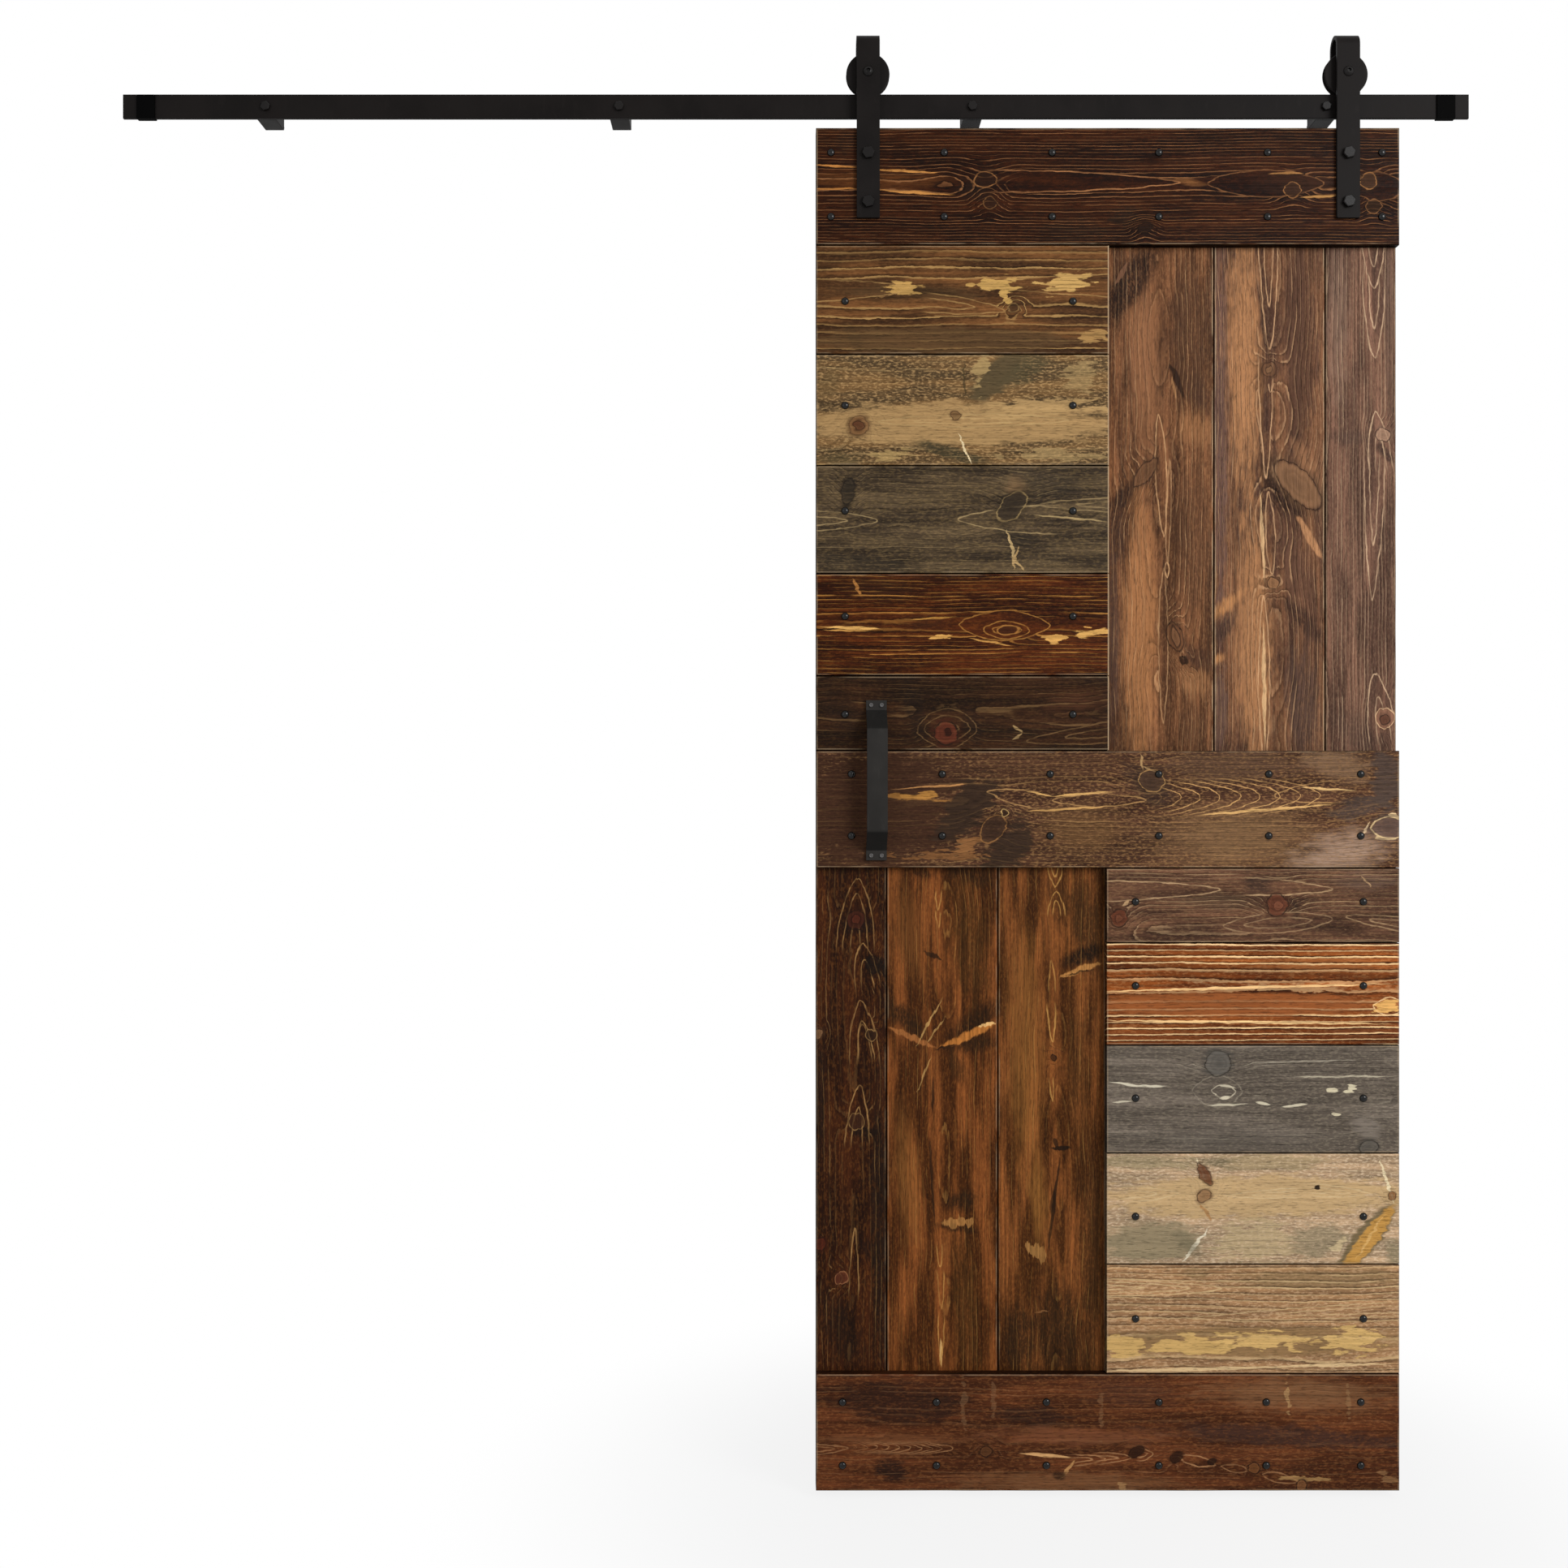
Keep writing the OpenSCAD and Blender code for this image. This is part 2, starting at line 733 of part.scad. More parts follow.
module bearing_inner_rings() {
    color(BRIGHT_STEEL)
        for (side = SIDES)
            turned(hanger_x(side), axle_z)
                ring_section(axle_d / 2 + ring_play, axle_d / 2 + ring_thick);
}

module bearing_outer_ring(side) {
    color(BRIGHT_STEEL)
        turned(hanger_x(side), axle_z)
            ring_section(bearing_d / 2 - ring_thick, bearing_d / 2);
}

module bearing_balls(side) {
    color(BRIGHT_STEEL)
        for (i = [1:BALL_COUNT])
            translate([hanger_x(side), track_mid, axle_z])
                rotate([0, i * 360 / BALL_COUNT, 0])
                    translate([ball_ring_r, 0, 0])
                        sphere(d = ball_d);
}

// Grooved wheel that straddles the bar, bored for its bearing
module wheel(side) {
    bore_r = bearing_d / 2;
    tread_r = tread_d / 2;
    rim_r = flange_d / 2;
    half = wheel_width / 2;
    groove = groove_width / 2;
    rim_bevel = flange_thick / 3;
    draft = flange_thick / 4;
    profile = [
        [bore_r, -half], [rim_r - rim_bevel, -half], [rim_r, rim_bevel - half],
        [rim_r, -groove - draft], [tread_r, -groove], [tread_r, groove],
        [rim_r, groove + draft], [rim_r, half - rim_bevel], [rim_r - rim_bevel, half], [bore_r, half]
    ];
    color(BLACK_STEEL)
        turned(hanger_x(side), axle_z)
            polygon(profile);
}

track_bar();
lag_bolts();
for (i = [1:LAG_COUNT])
    spacer(i);
for (side = SIDES)
    end_stop(side);
for (i = [1:PLANK_COUNT])
    back_plank(i);
for (r = [0:2])
    cross_rail(r);
for (panel = PANEL_NAMES, i = [1:BOARD_COUNT])
    panel_board(panel, i);
nails(rail_nail_places);  // rail_nails
nails(board_nail_places);  // board_nails
pull_handle();
handle_screws();
for (side = SIDES)
    hanger_strap(side);
hanger_bolts();
hanger_washers();
hanger_nuts();
for (side = SIDES)
    axle_bolt(side);
axle_nuts();
axle_bushes();
bearing_inner_rings();
for (side = SIDES)
    bearing_outer_ring(side);
for (side = SIDES)
    bearing_balls(side);
for (side = SIDES)
    wheel(side);
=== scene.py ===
"""Dresses a sliding barn door: brushed and stained boards, black strap hangers, track and nails."""

import json
import math
from dataclasses import dataclass, field

import bmesh
import bpy
from bpy.props import FloatProperty, FloatVectorProperty, PointerProperty
from mathutils import Matrix, Vector
from mathutils import noise as soft_noise

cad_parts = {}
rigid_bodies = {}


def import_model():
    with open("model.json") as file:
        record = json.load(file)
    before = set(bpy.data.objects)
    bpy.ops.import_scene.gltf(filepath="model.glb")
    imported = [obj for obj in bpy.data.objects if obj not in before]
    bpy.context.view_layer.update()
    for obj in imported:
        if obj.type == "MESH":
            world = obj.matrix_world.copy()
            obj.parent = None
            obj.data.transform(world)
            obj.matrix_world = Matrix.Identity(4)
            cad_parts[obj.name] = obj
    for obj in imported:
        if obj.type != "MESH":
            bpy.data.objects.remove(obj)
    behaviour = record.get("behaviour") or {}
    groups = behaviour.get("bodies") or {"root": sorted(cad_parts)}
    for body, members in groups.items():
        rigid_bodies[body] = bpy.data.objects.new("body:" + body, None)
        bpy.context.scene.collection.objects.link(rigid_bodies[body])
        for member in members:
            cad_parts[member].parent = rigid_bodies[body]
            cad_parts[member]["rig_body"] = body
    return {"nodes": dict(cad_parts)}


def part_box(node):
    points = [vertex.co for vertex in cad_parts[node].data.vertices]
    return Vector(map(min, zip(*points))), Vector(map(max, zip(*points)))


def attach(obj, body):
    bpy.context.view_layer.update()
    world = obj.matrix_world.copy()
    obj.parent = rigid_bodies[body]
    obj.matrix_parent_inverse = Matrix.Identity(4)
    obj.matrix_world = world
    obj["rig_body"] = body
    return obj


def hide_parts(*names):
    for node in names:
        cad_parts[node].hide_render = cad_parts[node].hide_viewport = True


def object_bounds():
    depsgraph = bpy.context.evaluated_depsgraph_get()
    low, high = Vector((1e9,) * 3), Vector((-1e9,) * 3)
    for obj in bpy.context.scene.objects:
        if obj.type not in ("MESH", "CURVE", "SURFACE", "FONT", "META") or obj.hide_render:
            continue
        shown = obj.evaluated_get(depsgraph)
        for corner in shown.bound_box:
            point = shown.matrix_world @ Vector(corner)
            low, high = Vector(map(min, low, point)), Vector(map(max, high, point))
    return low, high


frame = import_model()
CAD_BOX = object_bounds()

bl_info = {
    "name": "Sliding barn door",
    "version": (1, 0, 0),
    "blender": (4, 5, 0),
    "location": "View3D > Sidebar > Barn door",
    "description": "Dresses a plank door on a flat track with wood, steel and a studio stage",
    "category": "Object",
}

MM = 0.001
SIDES = ("left", "right")
RAILS = ("top_rail", "middle_rail", "bottom_rail")
PLANKS = tuple(f"back_plank_{i}" for i in range(1, 7))
BOARDS = tuple(f"{panel}_board_{i}" for panel in ("upper", "lower") for i in range(1, 6))
SPACERS = tuple(f"spacer_{i}" for i in range(1, 5))

# The leaf's front face lies this far in front of the wall
LEAF_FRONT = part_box("top_rail")[0].y

# How the photograph's pixels fall on the leaf's front face
PHOTO_MIDDLE = 966
PIXEL = 1.27 * MM
CAMERA_PLACE = (-18.6 * MM, -2802.5 * MM, -1063.9 * MM)


def linear(colour):
    """Linear red, green and blue of a colour written as six hex digits."""
    channels = [int(colour[i : i + 2], 16) / 255 for i in (0, 2, 4)]
    return tuple(c / 12.92 if c <= 0.04045 else ((c + 0.055) / 1.055) ** 2.4 for c in channels)


def leaf_point(px, py):
    """Where a pixel of the photograph falls on the leaf's front face, as x and z in metres."""
    x = CAMERA_PLACE[0] + (px - PHOTO_MIDDLE) * PIXEL
    z = CAMERA_PLACE[2] + (PHOTO_MIDDLE - py) * PIXEL
    return x, z


# Settings

class LeafSettings(bpy.types.PropertyGroup):
    """Edges and finish of the wooden pieces."""

    edge_ease: FloatProperty(
        name="Edge ease", description="Radius to which the front edges are sanded",
        default=1.9 * MM, unit="LENGTH",
    )
    ease_wander: FloatProperty(
        name="Ease wander", description="Share by which that radius varies along an edge",
        default=0.55, subtype="FACTOR",
    )
    edge_wander: FloatProperty(
        name="Edge wander", description="How far an edge strays from a straight line",
        default=0.35 * MM, unit="LENGTH",
    )
    seam: FloatProperty(
        name="Seam", description="Gap that each board leaves at its edges",
        default=0.45 * MM, unit="LENGTH",
    )
    face_wave: FloatProperty(
        name="Face wave", description="Unevenness of the planed faces",
        default=0.25 * MM, unit="LENGTH",
    )
    grain_relief: FloatProperty(
        name="Grain relief", description="Depth of the brushed grain",
        default=0.35 * MM, unit="LENGTH",
    )
    # Bare wood colour, which also paints the highlight at the right end of boards with a lit end
    worn: FloatVectorProperty(
        name="Worn edge", description="Bare wood that shows along the edges",
        default=linear("B59C7C"), subtype="COLOR",
    )


class SteelSettings(bpy.types.PropertyGroup):
    """Edges and coats of the steel and rubber pieces."""

    edge_soft: FloatProperty(
        name="Edge radius", description="Radius of the steel's edges",
        default=0.7 * MM, unit="LENGTH",
    )
    black: FloatVectorProperty(
        name="Black coat", description="Coat of the track, hangers and bolts",
        default=linear("161312"), subtype="COLOR",
    )
    handle: FloatVectorProperty(
        name="Handle coat", description="Coat of the pull handle",
        default=linear("282624"), subtype="COLOR",
    )
    rubber: FloatVectorProperty(
        name="Rubber", description="Rubber of the end stops",
        default=linear("060606"), subtype="COLOR",
    )
    bright: FloatVectorProperty(
        name="Bearing steel", description="Bare steel of the bearings",
        default=linear("B4B4B0"), subtype="COLOR",
    )


class StageSettings(bpy.types.PropertyGroup):
    """Floor, lights and camera."""

    floor_gap: FloatProperty(
        name="Floor gap", description="Room between the leaf and the floor",
        default=12 * MM, unit="LENGTH",
    )
    lens: FloatProperty(
        name="Lens", description="Focal length of the camera in millimetres", default=40.25,
    )
    key_power: FloatProperty(
        name="Key light", description="Power of the lamp at the right", default=132, unit="POWER",
    )
    fill_power: FloatProperty(
        name="Fill light", description="Power of the lamp at the left", default=18, unit="POWER",
    )
    ambient: FloatProperty(
        name="Ambient", description="Even light from all round", default=0.54,
    )


# Node trees

class Tree:
    """A node tree that is built with one short call per node."""

    def __init__(self, tree):
        self.tree = tree

    def add(self, kind, settings=None, **inputs):
        """A node with its settings and its inputs, by socket name with _ for a space."""
        node = self.tree.nodes.new(kind)
        for key, value in (settings or {}).items():
            setattr(node, key, value)
        for key, value in inputs.items():
            self.put(node.inputs[key.replace("_", " ")], value)
        return node

    def put(self, socket, value):
        """Links a socket to another one, or sets it to a constant."""
        if isinstance(value, bpy.types.NodeSocket):
            self.tree.links.new(value, socket)
        elif socket.type == "RGBA" and len(value) == 3:
            socket.default_value = (*value, 1)
        else:
            socket.default_value = value

    def math(self, operation, *values):
        """One number worked out from others."""
        node = self.add("ShaderNodeMath", {"operation": operation})
        for socket, value in zip(node.inputs, values):
            self.put(socket, value)
        return node.outputs[0]

    def vector(self, operation, *values):
        """One vector, or its length, worked out from others."""
        node = self.add("ShaderNodeVectorMath", {"operation": operation})
        for socket, value in zip(node.inputs, values):
            self.put(socket, value)
        return node.outputs["Value" if operation == "LENGTH" else "Vector"]

    def span(self, value, low, high, to_low=0.0, to_high=1.0):
        """Value eased from to_low to to_high as it goes from low to high."""
        node = self.add("ShaderNodeMapRange", {"interpolation_type": "SMOOTHSTEP"}, Value=value)
        for name, number in (("From Min", low), ("From Max", high), ("To Min", to_low), ("To Max", to_high)):
            self.put(node.inputs[name], number)
        return node.outputs["Result"]

    def noise(self, place, period, seed, detail=2.0, output="Fac"):
        """Noise whose lumps are about period long in each direction of place."""
        offset = (seed * 7.31, seed * 3.17, seed * 5.73)
        scaled = self.vector("MULTIPLY_ADD", place, [1 / p for p in period], offset)
        return self.add("ShaderNodeTexNoise", Vector=scaled, Scale=1.0, Detail=detail).outputs[output]

    def swing(self, value):
        """Noise from 0 to 1 spread out to -1 to 1."""
        node = self.add("ShaderNodeMapRange", {"clamp": False}, Value=value)
        for name, number in (("From Min", 0.25), ("From Max", 0.75), ("To Min", -1.0), ("To Max", 1.0)):
            self.put(node.inputs[name], number)
        return node.outputs["Result"]

    def shade(self, colour, level):
        """A colour made darker or lighter by a level, 1 for no change."""
        grey = self.add("ShaderNodeCombineColor", Red=level, Green=level, Blue=level).outputs[0]
        return self.mix(1.0, colour, grey, "MULTIPLY")

    def mix(self, factor, a, b, blend="MIX"):
        """Two colours blended by a factor."""
        node = self.add("ShaderNodeMix", {"data_type": "RGBA", "blend_type": blend})
        for index, value in ((0, factor), (6, a), (7, b)):
            self.put(node.inputs[index], value)
        return node.outputs[2]


def new_material(name):
    """A material with an empty tree, its surface shader and its output."""
    material = bpy.data.materials.new(name)
    material.use_nodes = True
    material.node_tree.nodes.clear()
    tree = Tree(material.node_tree)
    shader = tree.add("ShaderNodeBsdfPrincipled")
    tree.add("ShaderNodeOutputMaterial", Surface=shader.outputs[0])
    return material, tree, shader


# Wood

@dataclass
class Mark:
    """A spot that runs between two pixels of the photograph, with its half width in pixels."""

    x0: float
    y0: float
    x1: float
    y1: float
    wide: float


@dataclass
class Figure(Mark):
    """Nested outlines of cut rings: a leaf, a vee with its tip at the second pixel, or a nest of arcs."""

    rings: float = 2
    shape: str = "vee"
    level: float = 1.0


@dataclass
class Knot(Mark):
    """A knot with its fill, its outline and how far the grain bends round it."""

    core: str = "3A2418"
    outline: str = ""
    fill: float = 0.6
    bend: float = 2.5
    shape: str = "oval"


@dataclass
class Stain(Mark):
    """A spot of another tone, soft or crisp, smooth or ragged."""

    colour: str = "000000"
    strength: float = 0.7
    soft: float = 0.5
    rag: float = 0.8
    shape: str = "oval"


def round_knot(x, y, radius, *look, **more):
    """A knot that is cut straight across."""
    return Knot(x - radius, y, x + radius, y, radius, *look, **more)


def scraped(x0, y0, x1, y1, wide, colour, strength=0.9):
    """A patch that is scraped down to paler wood, with a crisp ragged outline."""
    return Stain(x0, y0, x1, y1, wide, colour, strength, 0.12, 1.7)


def scratch(x0, y0, x1, y1, wide, colour, strength=0.9):
    """A thin pointed streak."""
    return Stain(x0, y0, x1, y1, wide, colour, strength, 0.25, 0.25, "leaf")


@dataclass
class Wood:
    """How one board is cut and stained. Lengths are in millimetres."""

    # The stain, its tone where it soaks in, and the light crests of the rings
    base: str
    deep: str
    line: str
    # Breadth of a ring, and the seed of all that is random
    pitch: float
    seed: float
    # Where the pith lies, across the board and behind its face, and how it and the rings stray
    pith: tuple = (0, 30)
    drift: float = 12
    sway: float = 6
    ripple: float = 0.14
    # The crests: their share of a ring, strength, how rare strong ones are and how broken they run
    width: float = 0.14
    vigour: float = 0.6
    accent: float = 1.6
    broken: float = 0.45
    # Unevenness of the stain, and how strong its red, green and blue are
    mottle: float = 0.8
    speckle: float = 0.18
    streak: float = 0.17
    fibre: float = 0.2
    tint: tuple = (1, 1, 1)
    # Bare wood along the edges, and whether the right end carries a painted highlight, pale where its eased
    # edge catches the key light
    worn: float = 0.35
    lit_end: bool = False
    figures: list = field(default_factory=list)
    knots: list = field(default_factory=list)
    stains: list = field(default_factory=list)


WOODS = {
    "top_rail": Wood(
        base="47301F", deep="25150C", line="94643E", pitch=4.6, seed=1, tint=(1.27, 0.88, 0.56),
        pith=(4, 20), drift=5, sway=3, width=0.11, vigour=0.9, accent=0.9, broken=0.4,
        figures=[
            Figure(1228, 223, 1478, 225, 14, 1, "vee", 1.3),
            Figure(1480, 226, 1640, 226, 17, 1, "leaf", 0.6),
            Figure(1660, 228, 1735, 232, 18, 1, "leaf", 0.6),
        ],
        knots=[
            Knot(1200, 222, 1227, 221, 10, "2A170C", "8E6038", 0.5),
            round_knot(1219, 250, 8, "2E1A0E", "6E4A2A", 0.5),
            round_knot(1592, 234, 10, "3E2617", "8E6038", 0.5),
            round_knot(1686, 223, 10, "4E331F", "9A6A3E", 0.4),
            round_knot(1693, 254, 9, "35200F", "7A5230", 0.5),
            round_knot(1411, 281, 7, "24140B"),
        ],
        stains=[
            Stain(1000, 221, 1150, 223, 10, "5E3618", 0.7, 0.6),
            scratch(1000, 203, 1060, 206, 1.6, "C08040"),
            scratch(1075, 209, 1160, 213, 1.6, "C08444", 1.0),
            scratch(1000, 233, 1060, 232, 1.4, "B87A3C"),
            scratch(1075, 234, 1180, 240, 1.6, "C08444", 1.0),
            Stain(1180, 228, 1215, 238, 13, "1E110A", 0.8, 0.5),
            scratch(1562, 214, 1610, 213, 1.4, "B07C46", 0.8),
            scratch(1600, 243, 1650, 241, 2, "C08C50"),
            Stain(1365, 268, 1410, 268, 12, "1E130B", 0.75, 0.5),
            Stain(1450, 222, 1480, 226, 4, "8A5A32", 0.6, 0.6),
            Stain(1560, 225, 1660, 225, 12, "3A2214", 0.5, 0.6),
            Stain(1290, 285, 1360, 285, 14, "22140B", 0.6, 0.6),
            Stain(1030, 175, 1055, 180, 18, "20120A", 0.6, 0.6),
        ],
    ),
    "upper_board_1": Wood(
        base="70522F", deep="4B361F", line="B08A54", pitch=11.5, seed=2, tint=(1.79, 1.8, 2.53),
        pith=(15, 24), drift=3, sway=6, width=0.13, vigour=0.75, accent=0.7, broken=0.34, mottle=0.9,
        lit_end=True,
        figures=[
            Figure(985, 359, 1136, 355, 14, 1, "vee", 0.8),
            Figure(1140, 372, 1250, 384, 12, 2, "vee", 0.7),
            Figure(1390, 352, 1195, 350, 14, 1, "vee", 0.7),
        ],
        knots=[Knot(1243, 382, 1255, 376, 5, "3E2A18", "8A6A40")],
        stains=[
            Stain(1000, 420, 1320, 420, 17, "573F26", 0.85, 0.25, 0.5),
            Stain(1040, 360, 1200, 362, 9, "553D24", 0.7),
            scraped(1094, 356, 1134, 354, 7, "BE9554"),
            scraped(1206, 350, 1248, 352, 9, "C09856"),
            scraped(1232, 358, 1244, 372, 5, "C09856"),
            scraped(1285, 350, 1342, 346, 11, "C49C5C"),
            scraped(1190, 352, 1202, 351, 3, "BE9554"),
            scraped(1330, 412, 1364, 416, 8, "B48C54", 0.7),
            Stain(1045, 402, 1062, 430, 8, "4A3620", 0.7, 0.4),
        ],
    ),
    "upper_board_2": Wood(
        base="806641", deep="544630", line="BA9C6A", pitch=9, seed=3, tint=(1.56, 1.66, 2.24), vigour=0.3,
        speckle=1.0, streak=0.12, fibre=0.12, lit_end=True,
        figures=[Figure(1330, 517, 1070, 520, 8, 2, "leaf", 0.5)],
        knots=[
            round_knot(1058, 524, 12, "7E5836", "4A2E1C", 0.75),
            round_knot(1058, 524, 6, "5A3421", "2E1A10", 0.7),
            round_knot(1177, 512, 6, "6B4A2C", "4A3220"),
        ],
        stains=[
            Stain(990, 522, 1380, 522, 27, "A88658", 0.85, 0.15, 0.5),
            scraped(1340, 500, 1200, 508, 12, "B2905F", 0.7),
            Stain(1262, 430, 1196, 494, 17, "54462F", 0.95, 0.25, 0.5),
            Stain(1290, 435, 1240, 470, 14, "50462F", 0.8, 0.5),
            scraped(1214, 436, 1205, 478, 9, "A88C5C", 0.8),
            scratch(1188, 442, 1188, 492, 1.4, "40341F", 0.8),
            Stain(1010, 470, 1030, 480, 20, "5E4B2E", 0.5),
            scraped(1310, 462, 1345, 460, 24, "A68A5C", 0.55),
            Stain(1130, 545, 1216, 572, 8, "3F3826", 0.9, 0.4, 0.5),
            scratch(1180, 532, 1198, 574, 1.5, "DCC59A", 1.0),
            Stain(1005, 565, 1060, 568, 8, "54472E", 0.7),
            scraped(1075, 562, 1135, 556, 6, "B2945F", 0.6),
            scraped(1250, 560, 1340, 560, 7, "A68A5C", 0.6),
        ],
    ),
    "upper_board_3": Wood(
        base="4E4233", deep="302821", line="A88F64", pitch=6.5, seed=4, tint=(3.39, 3.58, 3.72),
        pith=(2, 22), width=0.12, vigour=0.5, accent=2.2, broken=0.5, fibre=0.14, lit_end=True,
        figures=[
            Figure(985, 642, 1092, 641, 13, 2, "vee", 0.8),
            Figure(1300, 640, 1167, 640, 18, 1, "vee", 0.9),
            Figure(1400, 622, 1268, 622, 9, 2, "vee", 0.6),
        ],
        knots=[
            Knot(1232, 640, 1262, 608, 13, "33291F", "8A734C", 0.75),
            Knot(1042, 622, 1048, 590, 8, "2A241D", "1E1914"),
        ],
        stains=[
            Stain(1240, 598, 1262, 602, 10, "8A6A48", 0.55, 0.7),
            Stain(1230, 655, 1275, 668, 9, "241E18", 0.6),
            scratch(1241, 652, 1250, 690, 2, "B89C6C"),
            scratch(1246, 686, 1264, 704, 1.6, "AE8F60"),
            scratch(1248, 704, 1254, 672, 1.6, "AE8F60"),
            Stain(1262, 590, 1330, 600, 14, "2E2720", 0.6),
            Stain(1010, 690, 1120, 700, 10, "2A241D", 0.6),
            scratch(1270, 634, 1366, 643, 1.2, "B09668", 0.8),
        ],
    ),
    "upper_board_4": Wood(
        base="5E371C", deep="371E0F", line="C08640", pitch=5.6, seed=5, tint=(1.53, 1.5, 1.5),
        pith=(0, 22), drift=6, sway=4, width=0.15, vigour=0.8, accent=1.3, broken=0.47, lit_end=True,
        figures=[
            Figure(1176, 770, 1300, 771, 19, 1, "leaf", 0.7),
            Figure(1208, 776, 1272, 777, 11, 2, "leaf", 0.6),
        ],
        knots=[Knot(1230, 777, 1254, 776, 6, "40200E", "A06C34", 0.7)],
        stains=[
            Stain(1045, 720, 1115, 728, 14, "341B0C", 0.75, 0.6),
            scratch(1008, 772, 1088, 775, 2.0, "E2AE62", 1.0),
            scratch(1012, 777, 1080, 777, 1.2, "D69C50"),
            scraped(1146, 785, 1176, 784, 2.4, "D8A256"),
            scratch(1190, 786, 1250, 796, 1.4, "D29A50"),
            scraped(1284, 790, 1314, 785, 4.5, "DCA65A"),
            scraped(1322, 784, 1366, 777, 4, "E0AC60"),
            scratch(1050, 712, 1060, 735, 2.5, "B87C40", 0.7),
            scraped(1330, 772, 1350, 774, 2, "D29A50"),
            Stain(1110, 765, 1160, 768, 8, "40220F", 0.6),
            scratch(1120, 764, 1180, 760, 1.2, "D09648", 0.8),
            Stain(1255, 788, 1280, 790, 5, "381C0C", 0.6),
        ],
    ),
    "upper_board_5": Wood(
        base="40291B", deep="24170F", line="84643F", pitch=5.5, seed=6, tint=(2.16, 2.62, 2.72),
        vigour=0.5, accent=2.2, broken=0.5, lit_end=True,
        figures=[
            Figure(1126, 898, 1208, 897, 25, 3, "leaf", 0.55),
            Figure(1390, 900, 1250, 915, 13, 2, "vee", 0.6),
        ],
        knots=[
            round_knot(1166, 903, 15, "5E2D1D", "1C110A", 0.8, bend=3),
            round_knot(1168, 902, 4, "2A120A", "1A0D07", 0.7),
        ],
        stains=[
            Stain(1120, 840, 1135, 912, 12, "1E140D", 0.7, 0.6),
            Stain(1190, 875, 1205, 915, 8, "1E140D", 0.6, 0.6),
            scratch(1248, 893, 1260, 903, 1.8, "A98A5C", 0.7),
            scratch(1246, 912, 1260, 903, 1.6, "A98A5C", 0.7),
            Stain(1010, 850, 1060, 900, 16, "22160E", 0.5, 0.6),
            Stain(1290, 870, 1360, 866, 10, "5A3622", 0.5, 0.7),
        ],
    ),
    "middle_rail": Wood(
        base="6B4A32", deep="4A3020", line="BE925C", pitch=6, seed=7, tint=(1.23, 1.5, 2.23),
        pith=(12, 28), drift=6, sway=4, vigour=0.35, accent=2.0, speckle=0.75, fibre=0.15, mottle=0.7,
        streak=0.15,
        figures=[
            Figure(1430, 983, 1626, 980, 25, 8, "nest", 1.4),
            Figure(1290, 986, 1420, 986, 8, 1, "leaf", 0.7),
            Figure(1275, 986, 1210, 974, 11, 1, "vee", 0.8),
            Figure(1650, 975, 1560, 981, 14, 1, "vee", 0.7),
        ],
        knots=[
            Knot(1211, 1036, 1236, 1006, 13, "3C281C", "8C6238", 0.8),
            round_knot(1237, 1001, 4.5, "3A2618", "D8B070", 0.6),
            Knot(1403, 962, 1435, 962, 14, "4A3527", "A07A4C", 0.7),
            Knot(1690, 1021, 1734, 1019, 13, "665046", "D6B888", 0.7),
        ],
        stains=[
            Stain(960, 1000, 1190, 1000, 84, "3A2317", 0.9, 0.29, 0.9),
            Stain(1190, 940, 1370, 935, 24, "4A3020", 0.6, 0.6),
            Stain(1290, 1020, 1380, 1025, 26, "70502F", 0.5, 0.6),
            scraped(1098, 982, 1172, 985, 4, "9A6A34", 0.8),
            scraped(1118, 982, 1156, 980, 4.5, "B07C3C", 0.8),
            scratch(1095, 973, 1215, 964, 1.4, "B98450"),
            Stain(1222, 958, 1160, 1034, 22, "33241A", 0.95, 0.2, 0.9),
            Stain(1266, 1016, 1216, 1072, 21, "33241A", 0.95, 0.2, 0.9),
            scraped(1180, 1045, 1206, 1034, 8, "8E6038", 0.8),
            scraped(1110, 1054, 1200, 1054, 5, "865A34", 0.7),
            scratch(1262, 975, 1300, 981, 1.2, "D6A866"),
            scratch(1295, 981, 1372, 976, 1.5, "D6A866", 1.0),
            scratch(1262, 1000, 1376, 993, 1.4, "C89A5C", 0.9),
            Stain(1388, 950, 1440, 985, 16, "362720", 0.8, 0.5),
            scratch(1405, 928, 1408, 950, 1.6, "B08C5E"),
            scratch(1408, 944, 1426, 953, 1.4, "C8A06C"),
            Stain(1440, 945, 1600, 942, 18, "58402F", 0.7, 0.5),
            Stain(1612, 934, 1690, 950, 16, "8A6B50", 0.6, 0.5),
            Stain(1440, 1034, 1600, 1030, 32, "8C6A48", 0.6, 0.8),
            scratch(1470, 1005, 1650, 990, 1.6, "D0A468", 1.0),
            scratch(1600, 970, 1674, 974, 1.5, "D6AE74", 1.0),
            Stain(1705, 920, 1708, 1000, 17, "4A3B33", 0.9, 0.25),
            Stain(1640, 1004, 1715, 984, 12, "4A3B33", 0.85, 0.4),
            # Pale patch at the right end: partly painted sheen of the light, partly stain that is thinner
            # there
            Stain(1610, 1064, 1704, 1036, 22, "A88A74", 0.8, 0.75, 0.9),
            scratch(1678, 1030, 1688, 1012, 1.6, "D6B890"),
            scraped(1690, 1033, 1724, 1032, 2.4, "E0C090"),
            scraped(1712, 1003, 1722, 1006, 2.6, "E0C090"),
        ],
    ),
    "bottom_rail": Wood(
        base="6A432C", deep="2E1A10", line="A87A52", pitch=7, seed=8, tint=(1.66, 1.81, 1.85),
        vigour=0.22, accent=2.4, speckle=0.4, fibre=0.16, mottle=0.5, streak=0.15,
        figures=[
            Figure(1056, 1783, 1174, 1785, 9, 9, "nest", 0.8),
            Figure(1322, 1799, 1366, 1797, 7, 2, "vee"),
            Figure(1350, 1797, 1398, 1795, 7, 2, "vee"),
            Figure(1402, 1792, 1424, 1793, 8, 2, "vee", 0.9),
            Figure(1450, 1794, 1500, 1806, 6, 1, "leaf"),
